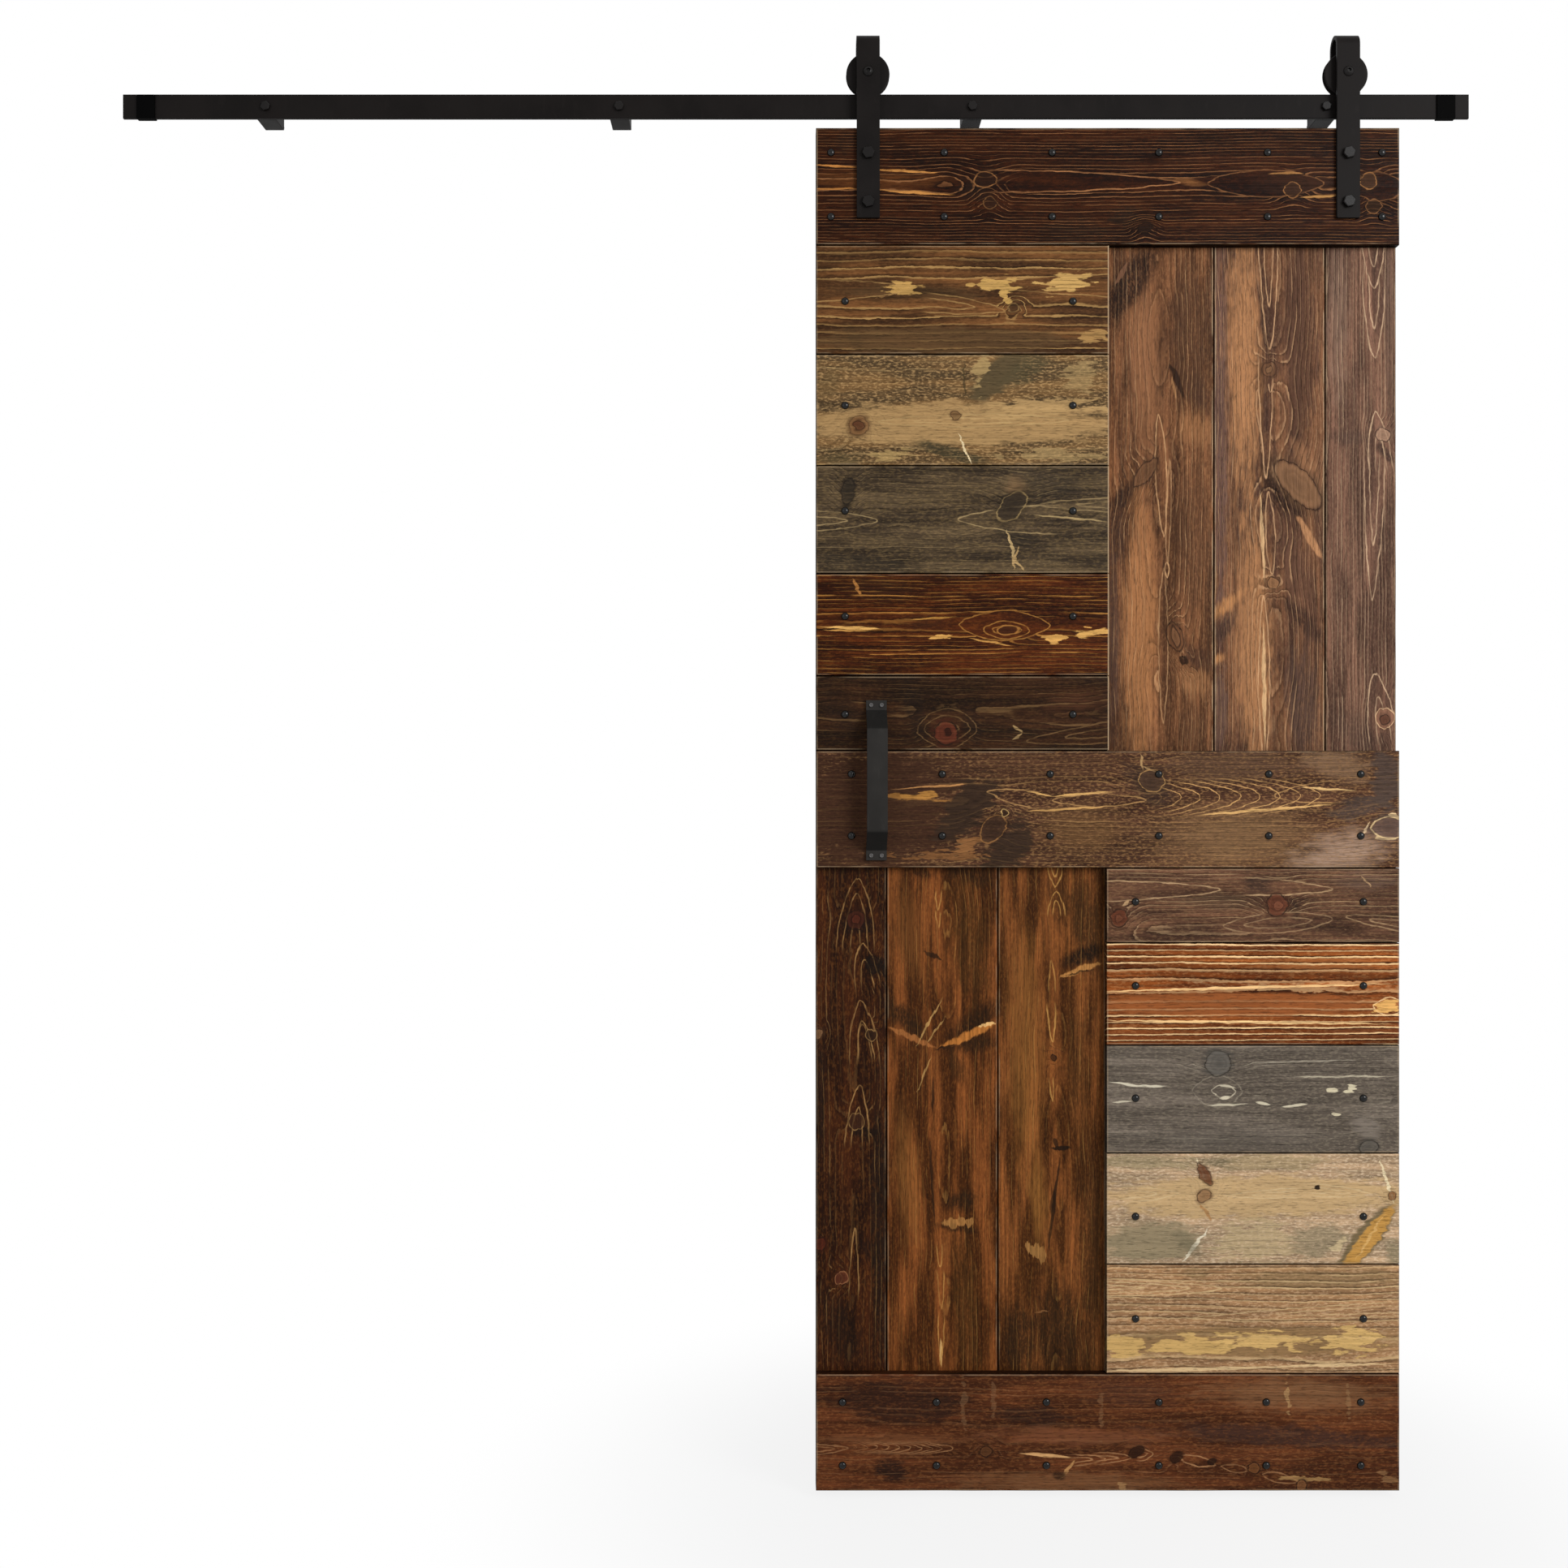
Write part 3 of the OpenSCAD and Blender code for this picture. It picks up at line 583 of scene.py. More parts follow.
            Figure(1503, 1806, 1540, 1812, 5, 1, "leaf", 0.7),
            Figure(1554, 1816, 1600, 1826, 6, 1, "leaf", 0.7),
            Figure(1000, 1786, 1050, 1784, 6, 2, "vee", 0.6),
        ],
        knots=[
            round_knot(1215, 1788, 7, "5A3820", "1E100A", 0.8),
            Knot(1392, 1793, 1408, 1785, 6, "2E190E", "180C06", 0.9),
            Knot(1442, 1799, 1456, 1792, 6, "2E190E", "180C06", 0.9),
            round_knot(1546, 1809, 7, "6E4526", "1E100A", 0.8),
            round_knot(1604, 1830, 7, "7A5030", "1E100A", 0.8),
            Knot(1488, 1803, 1497, 1799, 4, "2E190E", "180C06", 0.9),
        ],
        stains=[
            Stain(1020, 1722, 1190, 1735, 24, "2E1A11", 0.9, 0.35),
            Stain(1225, 1742, 1312, 1748, 12, "301C13", 0.85, 0.35),
            Stain(1440, 1762, 1735, 1778, 12, "3C271F", 0.85, 0.4),
            Stain(1500, 1715, 1700, 1722, 18, "8A6242", 0.6, 0.6),
            Stain(1080, 1806, 1118, 1818, 14, "281710", 0.9, 0.35),
            Stain(1230, 1768, 1430, 1772, 10, "7A4A30", 0.7, 0.5),
            scratch(1254, 1790, 1324, 1796, 2.4, "C89A66", 1.0),
            scratch(1305, 1825, 1324, 1798, 2.2, "B88854"),
            Stain(1200, 1825, 1420, 1828, 12, "7C5436", 0.7, 0.6),
            Stain(1298, 1814, 1312, 1822, 5, "22120A", 0.8),
            Stain(1010, 1772, 1180, 1774, 6, "70452A", 0.7, 0.5),
            Stain(1340, 1712, 1440, 1720, 16, "4A2E20", 0.6, 0.6),
            scraped(1187, 1700, 1188, 1756, 3, "8E6848", 0.3),
            scraped(1223, 1700, 1224, 1744, 3, "8E6848", 0.3),
            scraped(1356, 1716, 1358, 1768, 3, "8E6848", 0.3),
            scraped(1586, 1702, 1588, 1740, 3, "B08A5C", 0.6),
            scraped(1660, 1708, 1662, 1742, 3, "A07C54", 0.3),
            scraped(1576, 1820, 1634, 1824, 3, "B48C58", 0.6),
            scraped(1380, 1826, 1384, 1838, 4, "A07A50", 0.6),
            scraped(1700, 1818, 1720, 1826, 6, "96704A", 0.5),
        ],
    ),
    "back_plank_1": Wood(
        base="3E2718", deep="23150D", line="A07848", pitch=7, seed=9, tint=(3.4, 3.08, 2.65),
        pith=(0, 20), drift=6, width=0.11, vigour=0.42, accent=1.8, broken=0.47, worn=0.2,
        figures=[
            Figure(1054, 1170, 1058, 1072, 24, 3, "vee", 0.7),
            Figure(1070, 1216, 1062, 1158, 16, 2, "vee"),
            Figure(1066, 1310, 1060, 1226, 19, 2, "vee", 0.7),
            Figure(1068, 1306, 1062, 1254, 10, 1, "vee"),
            Figure(1056, 1412, 1060, 1330, 15, 2, "vee"),
            Figure(1052, 1600, 1054, 1510, 6, 1, "vee", 0.9),
        ],
        knots=[
            round_knot(1055, 1134, 12, "3E1E13", "1A0E08", 0.85),
            round_knot(1055, 1133, 6, "58291A", "2A120A", 0.7),
            round_knot(1077, 1190, 10, "1A110B", "120B07"),
            round_knot(1074, 1278, 7, "2A1A10", "8A683E"),
            round_knot(1008, 1275, 6, "8A6444", "3A2214"),
            round_knot(1056, 1384, 10, "3E2416", "8A683E"),
            round_knot(1010, 1536, 8, "5A2818", "1E1009"),
            round_knot(1037, 1578, 8, "5A2E1E", "8A5A3A"),
        ],
        stains=[
            Stain(1036, 1142, 1078, 1140, 9, "150C07", 0.9, 0.5, 0.4),
            Stain(1078, 1180, 1092, 1205, 10, "140D08", 0.85, 0.6),
            Stain(1083, 1340, 1083, 1680, 9, "1E130C", 0.75, 0.5),
            Stain(1050, 1396, 1082, 1398, 8, "160E08", 0.8, 0.6),
            Stain(1010, 1290, 1010, 1420, 8, "22150D", 0.7, 0.6),
            Stain(1015, 1600, 1060, 1690, 20, "20140C", 0.7, 0.6),
            Stain(1062, 1530, 1090, 1570, 10, "1A100A", 0.7, 0.6),
        ],
    ),
    "back_plank_2": Wood(
        base="6E4826", deep="3E2610", line="B07E42", pitch=5.5, seed=10, tint=(2.49, 2.57, 3.39),
        pith=(6, 30), width=0.12, vigour=0.4, accent=1.8, broken=0.5, mottle=0.9, worn=0.3,
        figures=[
            Figure(1158, 1100, 1157, 1124, 4, 1, "vee"),
            Figure(1157, 1124, 1157, 1146, 3, 1, "vee"),
            Figure(1158, 1536, 1160, 1566, 4, 1, "vee"),
            Figure(1160, 1572, 1161, 1620, 4, 1, "vee"),
            Figure(1161, 1626, 1160, 1690, 4, 1, "vee"),
        ],
        stains=[
            Stain(1185, 1072, 1205, 1230, 22, "41280F", 0.75, 0.6),
            Stain(1170, 1068, 1225, 1082, 14, "2E1B0B", 0.85, 0.5),
            Stain(1125, 1072, 1150, 1080, 6, "2A180A", 0.8, 0.5),
            Stain(1092, 1236, 1142, 1280, 11, "2C1B0C", 0.9, 0.6, 0.4),
            Stain(1170, 1286, 1232, 1240, 13, "2A190B", 0.95, 0.6, 0.4),
            Stain(1170, 1292, 1228, 1284, 10, "2E1C0D", 0.85, 0.6),
            Stain(1176, 1300, 1186, 1335, 9, "3A2410", 0.7, 0.6),
            scratch(1092, 1266, 1156, 1294, 4, "945C30", 1.0),
            scratch(1156, 1294, 1232, 1261, 5.5, "B06E32", 1.0),
            scratch(1206, 1267, 1230, 1262, 2.2, "E0B070", 1.0),
            scratch(1152, 1296, 1180, 1288, 1.6, "24140A", 0.9),
            scratch(1164, 1228, 1128, 1294, 1.3, "B08850", 0.8),
            scratch(1166, 1254, 1142, 1288, 1.1, "B08850", 0.7),
            scratch(1150, 1302, 1130, 1348, 1.2, "B08850", 0.7),
            scratch(1138, 1172, 1162, 1184, 3, "26160A", 0.9),
            scratch(1151, 1325, 1150, 1375, 1.6, "2A190C", 0.85),
            scratch(1146, 1400, 1152, 1508, 1.8, "2A190C", 0.85),
            Stain(1165, 1484, 1205, 1480, 12, "2A1A0C", 0.9, 0.6),
            Stain(1158, 1512, 1206, 1520, 5, "26170B", 0.85, 0.5),
            scraped(1168, 1510, 1196, 1508, 6, "B07C44", 0.75),
            Stain(1185, 1530, 1195, 1690, 15, "40280F", 0.75, 0.6),
            Stain(1112, 1380, 1125, 1520, 12, "8A582A", 0.6, 0.7),
            scratch(1160, 1652, 1162, 1690, 2, "D6A868", 0.9),
            Stain(1110, 1095, 1130, 1200, 16, "7C4C24", 0.5, 0.7),
        ],
    ),
    "back_plank_3": Wood(
        base="724C28", deep="402810", line="B48446", pitch=5.2, seed=11, tint=(2.38, 2.48, 3.43),
        pith=(10, 30), width=0.12, vigour=0.4, accent=1.8, broken=0.5, mottle=0.9, worn=0.3,
        figures=[
            Figure(1302, 1064, 1302, 1096, 9, 2, "vee"),
            Figure(1304, 1128, 1303, 1096, 11, 2, "vee"),
            Figure(1298, 1222, 1298, 1180, 4, 1, "vee"),
            Figure(1297, 1240, 1299, 1290, 5, 1, "vee"),
            Figure(1297, 1330, 1299, 1362, 3, 1, "vee"),
        ],
        knots=[Knot(1296, 1304, 1304, 1306, 4, "24150B")],
        stains=[
            # Painted shadow: dark strip along the right edge, where the raised boards beside it shade the
            # plank
            Stain(1335, 1095, 1350, 1200, 18, "3A2410", 0.85, 0.6),
            Stain(1308, 1190, 1365, 1168, 9, "1C1108", 0.95, 0.5, 0.4),
            Stain(1300, 1085, 1320, 1140, 14, "3E2610", 0.7, 0.6),
            scratch(1305, 1206, 1362, 1186, 4, "A8743E", 1.0),
            scratch(1312, 1203, 1352, 1196, 1.3, "26170B", 0.8),
            scratch(1296, 1418, 1324, 1417, 3.2, "1E1208", 0.95),
            scratch(1300, 1402, 1306, 1420, 2.5, "24160A", 0.85),
            scratch(1309, 1424, 1291, 1556, 2.2, "26170B", 0.9),
            scratch(1302, 1466, 1296, 1500, 3, "22140A", 0.8),
            scraped(1268, 1540, 1290, 1552, 7, "B08048", 0.6),
            Stain(1256, 1610, 1262, 1700, 20, "2E1D0E", 0.85, 0.6),
            Stain(1300, 1580, 1310, 1700, 34, "301E0E", 0.85, 0.6),
            # Painted shadow: dark strip along the right edge, where the raised boards beside it shade the
            # plank
            Stain(1345, 1430, 1350, 1690, 14, "3C2510", 0.75, 0.6),
            Stain(1262, 1180, 1268, 1420, 18, "8A5A2A", 0.6, 0.7),
            Stain(1330, 1250, 1335, 1400, 12, "452B12", 0.6, 0.7),
            scratch(1276, 1622, 1296, 1618, 1.2, "8A5E38", 0.7),
            Stain(1280, 1440, 1284, 1530, 10, "9A6630", 0.55, 0.7),
        ],
    ),
    "back_plank_4": Wood(
        base="7A563C", deep="4A3222", line="CC9E70", pitch=5.5, seed=12, tint=(1.82, 2.06, 2.34),
        pith=(-4, 30), width=0.12, vigour=0.45, accent=1.5, fibre=0.16, worn=0.6,
        figures=[
            Figure(1430, 500, 1437, 668, 7, 1, "leaf", 0.8),
            Figure(1444, 560, 1441, 700, 3, 1, "leaf", 0.6),
            Figure(1436, 690, 1436, 900, 6, 1, "leaf", 0.6),
            Figure(1440, 690, 1441, 712, 3, 1, "leaf"),
        ],
        knots=[
            Knot(1430, 560, 1398, 600, 9, "6A482F", "2A180E", 0.7, shape="leaf"),
            Knot(1445, 766, 1456, 800, 10, "6B452C", "20120A", 0.6),
            Knot(1448, 770, 1454, 795, 5, "7C563A", "2E1C12", 0.6),
            Knot(1456, 806, 1466, 818, 4, "2A180E", "160C06", 0.8, shape="leaf"),
        ],
        stains=[
            Stain(1410, 330, 1416, 545, 20, "8E6040", 0.6, 0.6),
            Stain(1470, 330, 1468, 480, 24, "4E3322", 0.85, 0.5),
            Stain(1424, 300, 1362, 396, 20, "24150D", 0.95, 0.5, 0.4),
            scratch(1392, 318, 1376, 350, 3, "74503A", 0.8),
            scratch(1442, 440, 1464, 490, 4, "24150C", 0.9),
            scratch(1446, 460, 1452, 490, 2, "A87A50", 0.7),
            Stain(1462, 462, 1500, 508, 12, "472E20", 0.8, 0.6),
            Stain(1462, 512, 1490, 540, 15, "9A6A44", 0.7, 0.6, 1.3),
            Stain(1404, 595, 1366, 630, 11, "2E1C13", 0.9, 0.6, 0.4),
            Stain(1374, 620, 1384, 690, 11, "3E291E", 0.85, 0.6),
            Stain(1408, 625, 1405, 935, 19, "A46F45", 0.8, 0.5),
            Stain(1374, 680, 1374, 900, 8, "4E372C", 0.85, 0.4),
            Stain(1475, 570, 1470, 760, 19, "523624", 0.75, 0.5),
            Stain(1466, 800, 1494, 822, 12, "4A3022", 0.75, 0.6),
            Stain(1462, 830, 1492, 855, 14, "9C6C46", 0.7, 0.6, 1.3),
            Stain(1470, 870, 1475, 930, 14, "5A3C28", 0.6, 0.6),
        ],
    ),
    "back_plank_5": Wood(
        base="83593E", deep="52362A", line="CCA076", pitch=5.8, seed=13, tint=(1.35, 1.82, 2.3),
        pith=(6, 30), width=0.12, vigour=0.5, accent=1.4, fibre=0.16, worn=0.6,
        figures=[
            Figure(1566, 290, 1568, 444, 12, 2, "vee", 0.9),
            Figure(1563, 440, 1564, 602, 9, 1, "vee"),
            Figure(1570, 470, 1569, 482, 3, 1, "vee"),
            Figure(1566, 600, 1571, 712, 6, 1, "leaf", 0.8),
            Figure(1560, 720, 1562, 960, 7, 1, "leaf", 0.9),
        ],
        knots=[
            round_knot(1567, 452, 9, "6A4830", "3A2418", 0.6),
            round_knot(1567, 452, 4, "8A6444", "3A2418", 0.6),
            Knot(1576, 566, 1630, 624, 17, "8A6446", "2A180F", 0.65),
            round_knot(1572, 717, 7, "9A6E4A", "3E281A", 0.6),
        ],
        stains=[
            Stain(1506, 290, 1506, 740, 10, "64493F", 0.9, 0.35),
            Stain(1534, 290, 1538, 600, 19, "AE7A50", 0.8, 0.5),
            Stain(1606, 290, 1604, 545, 24, "543829", 0.85, 0.4),
            Stain(1566, 562, 1602, 640, 17, "22130B", 1.0, 0.45, 0.4),
            Stain(1600, 545, 1628, 590, 10, "9A6C4A", 0.6, 0.6),
            scratch(1600, 630, 1634, 690, 5, "B07E56", 0.9),
            Stain(1590, 640, 1620, 800, 18, "5E4030", 0.75, 0.5),
            Stain(1494, 762, 1534, 728, 7, "B07A4C", 0.85, 0.5),
            Stain(1496, 790, 1528, 754, 9, "453027", 0.9, 0.5),
            Stain(1494, 816, 1512, 806, 6, "B07A4C", 0.8, 0.5),
            Stain(1585, 735, 1634, 790, 9, "3A261D", 0.85, 0.5),
            Stain(1606, 800, 1612, 935, 20, "4E3A31", 0.8, 0.5),
            Stain(1546, 640, 1550, 935, 20, "AE7A50", 0.75, 0.5),
            Stain(1506, 820, 1504, 935, 10, "5E463C", 0.8, 0.4),
            scratch(1556, 600, 1562, 720, 2, "D8B080", 0.7),
            scratch(1560, 760, 1562, 930, 2.4, "D8B080", 0.7),
        ],
    ),
    "back_plank_6": Wood(
        base="795C4C", deep="574136", line="C0A080", pitch=5.4, seed=14, tint=(1.68, 1.84, 1.99),
        pith=(-60, 20), drift=4, sway=3, width=0.13, vigour=0.5, accent=1.3, fibre=0.16, broken=0.4,
        figures=[
            Figure(1696, 280, 1697, 360, 15, 2, "vee"),
            Figure(1697, 340, 1698, 450, 14, 2, "vee"),
            Figure(1706, 575, 1698, 496, 15, 2, "vee"),
            Figure(1698, 560, 1695, 758, 13, 2, "vee"),
            Figure(1710, 910, 1696, 819, 19, 2, "vee"),
        ],
        knots=[
            Knot(1699, 530, 1718, 536, 8, "A58168", "3A2820", 0.7),
            Knot(1700, 880, 1722, 888, 13, "8A604A", "D0A880", 0.7),
            round_knot(1711, 886, 6, "5E3A2A", "2E1C14", 0.8),
        ],
        stains=[
            Stain(1700, 545, 1722, 566, 6, "3A2820", 0.9, 0.5),
            Stain(1638, 536, 1690, 538, 8, "4E392F", 0.7, 0.6),
            Stain(1650, 300, 1652, 480, 12, "8A6D5C", 0.5, 0.6),
            Stain(1650, 880, 1700, 925, 16, "4E3A30", 0.6, 0.6),
            Stain(1690, 900, 1705, 925, 10, "3E2A22", 0.7, 0.6),
            Stain(1716, 300, 1716, 480, 7, "634B3E", 0.6, 0.5),
        ],
    ),
    "lower_board_1": Wood(
        base="64493A", deep="463229", line="BE9C74", pitch=5.8, seed=15, tint=(2.27, 2.57, 2.62),
        pith=(-40, 24), drift=5, width=0.12, vigour=0.55, accent=1.4, broken=0.42,
        figures=[
            Figure(1350, 1098, 1520, 1096, 13, 1, "vee", 0.9),
            Figure(1530, 1092, 1654, 1096, 11, 1, "vee", 0.9),
            Figure(1500, 1142, 1650, 1132, 13, 2, "leaf", 0.5),
            Figure(1735, 1140, 1650, 1128, 9, 2, "vee", 0.6),
        ],
        knots=[
            round_knot(1379, 1131, 11, "5E3220", "2A1A12", 0.85),
            round_knot(1378, 1132, 5, "74452F", "40241A", 0.6),
            Knot(1560, 1113, 1586, 1117, 14, "5E3423", "20140E", 0.85),
            round_knot(1574, 1116, 6, "7C4B35", "4A281C", 0.6),
        ],
        stains=[
            Stain(1535, 1082, 1565, 1100, 12, "3A2A22", 0.8, 0.6),
            Stain(1460, 1110, 1540, 1112, 10, "54402F", 0.6),
            Stain(1640, 1085, 1720, 1086, 10, "6E5648", 0.5),
            scratch(1383, 1116, 1392, 1110, 2, "BE9A70", 0.8),
            scratch(1676, 1078, 1690, 1094, 1.4, "B8946C", 0.7),
            Stain(1590, 1112, 1600, 1130, 6, "2E2018", 0.7, 0.6),
        ],
    ),
    "lower_board_2": Wood(
        base="8A562C", deep="663A1B", line="F4CC94", pitch=8.8, seed=16, tint=(1.59, 1.7, 2.07),
        pith=(12, 24), drift=1.5, sway=2, ripple=0.12, width=0.12, vigour=1.0, accent=0.7, broken=0.16,
        streak=0.3,
        figures=[Figure(1735, 1240, 1690, 1240, 11, 1, "leaf", 0.9)],
        stains=[
            Stain(1340, 1238, 1690, 1238, 15, "8E5028", 1.0, 0.2, 0.4),
            scraped(1696, 1241, 1724, 1240, 9, "DCA860", 0.9),
            scratch(1340, 1257, 1720, 1262, 1.8, "F0C488", 1.0),
            scratch(1340, 1222, 1725, 1212, 1.8, "EEC084", 1.0),
            Stain(1340, 1275, 1560, 1278, 7, "6C3A1C", 0.6, 0.6),
            Stain(1560, 1190, 1700, 1188, 8, "B06E3C", 0.5, 0.7),
            Stain(1640, 1272, 1720, 1276, 8, "6A3C20", 0.6, 0.6),
        ],
    ),
    "lower_board_3": Wood(
        base="6C635A", deep="544C44", line="C4B8A0", pitch=6, seed=17, tint=(2.18, 2.26, 2.35),
        pith=(0, 24), drift=6, width=0.11, vigour=0.35, accent=3.0, broken=0.58, fibre=0.1, mottle=0.6,
        streak=0.12,
        figures=[
            Figure(1524, 1346, 1492, 1344, 9, 1, "leaf", 0.9),
            Figure(1466, 1344, 1534, 1345, 20, 1, "leaf", 0.25),
        ],
        knots=[
            Knot(1486, 1306, 1516, 1314, 16, "67625B", "26231F", 0.6),
            Knot(1675, 1416, 1698, 1412, 9, "5E5850", "26231F", 0.6),
        ],
        stains=[
            scratch(1366, 1332, 1412, 1340, 1.6, "D2C8B0", 0.9),
            scratch(1392, 1338, 1438, 1338, 1.6, "D2C8B0", 0.9),
            scratch(1370, 1358, 1396, 1356, 1.2, "C8BEA6", 0.8),
            scratch(1500, 1354, 1516, 1351, 2.2, "CFC4AA", 0.9),
            scratch(1504, 1337, 1522, 1340, 1.4, "CFC4AA", 0.8),
            scraped(1633, 1346, 1646, 1342, 3.5, "CFC3A4", 0.9),
            scraped(1658, 1343, 1672, 1341, 4, "CFC3A4", 0.9),
            scratch(1590, 1327, 1720, 1326, 1.2, "BDB29A", 0.8),
            scratch(1486, 1362, 1540, 1360, 1.4, "C8BDA4", 0.8),
            scratch(1548, 1358, 1566, 1361, 2, "CFC4AA", 0.9),
            scratch(1578, 1364, 1612, 1360, 1.8, "CFC4AA", 0.9),
            scratch(1534, 1310, 1680, 1306, 1.0, "A89E8C", 0.7),
            Stain(1670, 1380, 1700, 1400, 12, "82776C", 0.7, 0.5),
            Stain(1420, 1400, 1600, 1404, 14, "5C544C", 0.5, 0.7),
            scraped(1640, 1372, 1650, 1374, 2, "CFC3A4", 0.8),
        ],
    ),
    "lower_board_4": Wood(
        base="B0956D", deep="8E7A5A", line="D6C096", pitch=10, seed=18, tint=(1.58, 1.74, 2.61),
        vigour=0.22, speckle=0.8, mottle=0.7, streak=0.1, fibre=0.1,
        figures=[
            Figure(1600, 1470, 1500, 1474, 6, 2, "vee", 0.5),
            Figure(1380, 1472, 1460, 1470, 10, 2, "vee", 0.5),
            Figure(1612, 1466, 1700, 1472, 8, 2, "vee", 0.4),
        ],
        knots=[
            Knot(1476, 1432, 1492, 1462, 6, "6B4028", "3A2416", 0.85, shape="leaf"),
            Knot(1476, 1480, 1490, 1468, 7, "8E6644", "4A3020", 0.7),
            round_knot(1624, 1463, 2.6, "1E120A", "1E120A", 0.95, bend=1),
            round_knot(1715, 1474, 5, "8A5E38", "4A3020", 0.8),
        ],
        stains=[
            Stain(1350, 1476, 1740, 1472, 25, "BE9E70", 0.85, 0.2, 0.5),
            Stain(1350, 1432, 1480, 1433, 8, "948464", 0.8, 0.3),
            Stain(1490, 1433, 1640, 1432, 9, "A08C68", 0.7, 0.3),
            Stain(1480, 1430, 1520, 1434, 6, "71664E", 0.8, 0.5),
            Stain(1350, 1530, 1484, 1530, 24, "8A7C60", 0.9, 0.25, 0.6),
            Stain(1500, 1532, 1600, 1532, 24, "B09A74", 0.8, 0.3, 1.3),
            Stain(1590, 1526, 1660, 1530, 20, "8C7D62", 0.85, 0.3),
            scratch(1474, 1426, 1486, 1456, 1.4, "E6D4AE", 0.9),
            scratch(1490, 1512, 1454, 1558, 2.4, "D8CCB2", 1.0),
            Stain(1450, 1520, 1480, 1550, 8, "70664F", 0.7, 0.6),
            Stain(1716, 1486, 1652, 1566, 15, "6E5E42", 0.95, 0.15, 0.3),
            Stain(1716, 1488, 1656, 1566, 10.5, "B98A46", 1.0, 0.12, 0.3),
            scratch(1708, 1492, 1668, 1556, 1.6, "D2A868", 0.7),
            scratch(1700, 1426, 1718, 1484, 1.8, "E0CDA6", 1.0),
            scraped(1640, 1546, 1656, 1530, 5, "CDB68C", 0.8),
            Stain(1712, 1530, 1730, 1560, 12, "86795E", 0.85, 0.3),
            scratch(1478, 1482, 1494, 1506, 2.2, "A87A4A", 0.8),
        ],
    ),
    "lower_board_5": Wood(
        base="99784F", deep="7E6241", line="D2B484", pitch=10, seed=19, tint=(1.91, 2.17, 3.4),
        pith=(-46, 22), drift=6, width=0.13, vigour=0.7, accent=0.8, broken=0.36, fibre=0.12, speckle=0.5,
        mottle=0.7, streak=0.12,
        figures=[
            Figure(1340, 1586, 1524, 1588, 11, 3, "vee", 0.9),
            Figure(1740, 1612, 1440, 1626, 9, 2, "vee", 0.7),
        ],
        stains=[
            Stain(1520, 1578, 1730, 1574, 12, "8A6E4C", 0.9, 0.3, 0.6),
            Stain(1350, 1655, 1730, 1652, 19, "8A6C48", 0.9, 0.25, 0.5),
            scraped(1356, 1660, 1408, 1660, 13, "CBA566"),
            scraped(1420, 1660, 1520, 1656, 11, "CBA566"),
            scraped(1500, 1652, 1614, 1650, 10, "CFA96A"),
            scraped(1632, 1652, 1698, 1650, 14, "D2AC6C"),
            scratch(1340, 1690, 1600, 1684, 2.2, "DCBC8C", 0.9),
            scratch(1560, 1684, 1720, 1680, 2.0, "DCBC8C", 0.9),
            scraped(1612, 1654, 1632, 1652, 3, "CBA566", 0.8),
            Stain(1460, 1566, 1490, 1572, 8, "846847", 0.7, 0.4),
        ],
    ),
}

# Rings bend round a knot out to this many times its size
KNOT_REACH = 2.4

# Half thickness of a drawn outline, in millimetres, and the share that the arcs of a nest have of it
OUTLINE = 1.35
NEST_SHARE = 0.75

# How blunt the arcs of a nest are, and how round the tips of leaves and vees
BLUNT = 0.45
TIP = 0.2

# Power by which light and dark are drawn apart
CONTRAST = 1.4

# A stain less soft than this is crisp, and hides the grain under it
CRISP = 0.3

# How far jolts shift the marks, along, across and through the board in millimetres
JOLT_REACH = (13, 6, 0)

# How far in from an edge the bare wood lies, and its half width from full to none, in millimetres
BARE_INSET = 2.4
BARE_BAND = (0.4, 1.2)

# How far in from an edge the darkening reaches, and how far the painted highlight of a lit end fades, in
# millimetres
EDGE_DARKENING_REACH = (0.5, 1.9)
LIT_REACH = (1.6, 3.0)

WOOD_GLOSS = 0.06


@dataclass
class Cloud:
    """A noise: length of its lumps along, across and through the board in millimetres, seed and detail."""

    period: tuple
    seed: float
    detail: float = 2.0


# How the pith strays, and how the rings ripple, fray and break up
SWAY = Cloud((330, 200, 200), 0)
DRIFT = Cloud((230, 400, 400), 5)
RIPPLE = Cloud((70, 14, 14), 2, 4.0)
JAG = Cloud((11, 3.5, 3.5), 13, 3.0)
DASHES = Cloud((55, 5, 5), 3, 4.0)

# What makes the outlines of the marks uneven
JOLT = Cloud((26, 9, 9), 0.3, 3.0)
CRAG = Cloud((30, 8, 8), 0.6, 5.0)
CHIP = Cloud((40, 6, 6), 14, 5.0)

# How the stain soaks in
SOAK = Cloud((170, 26, 26), 4, 4.0)
STREAK = Cloud((380, 7, 7), 11, 3.0)
FIBRE = Cloud((140, 2.6, 2.6), 6, 4.0)
PORE = Cloud((14, 2.0, 2.0), 7)
FLECK = Cloud((6.5, 2.8, 2.8), 8, 4.0)

# Where the edges are chafed
CHAFE = Cloud((50, 50, 50), 9, 4.0)


def board_axes(grain):
    """Rows that turn the frame's axes into along, across and through the board."""
    if grain == "X":
        return Matrix(((1, 0, 0), (0, 0, 1), (0, -1, 0)))
    return Matrix(((0, 0, 1), (1, 0, 0), (0, 1, 0)))


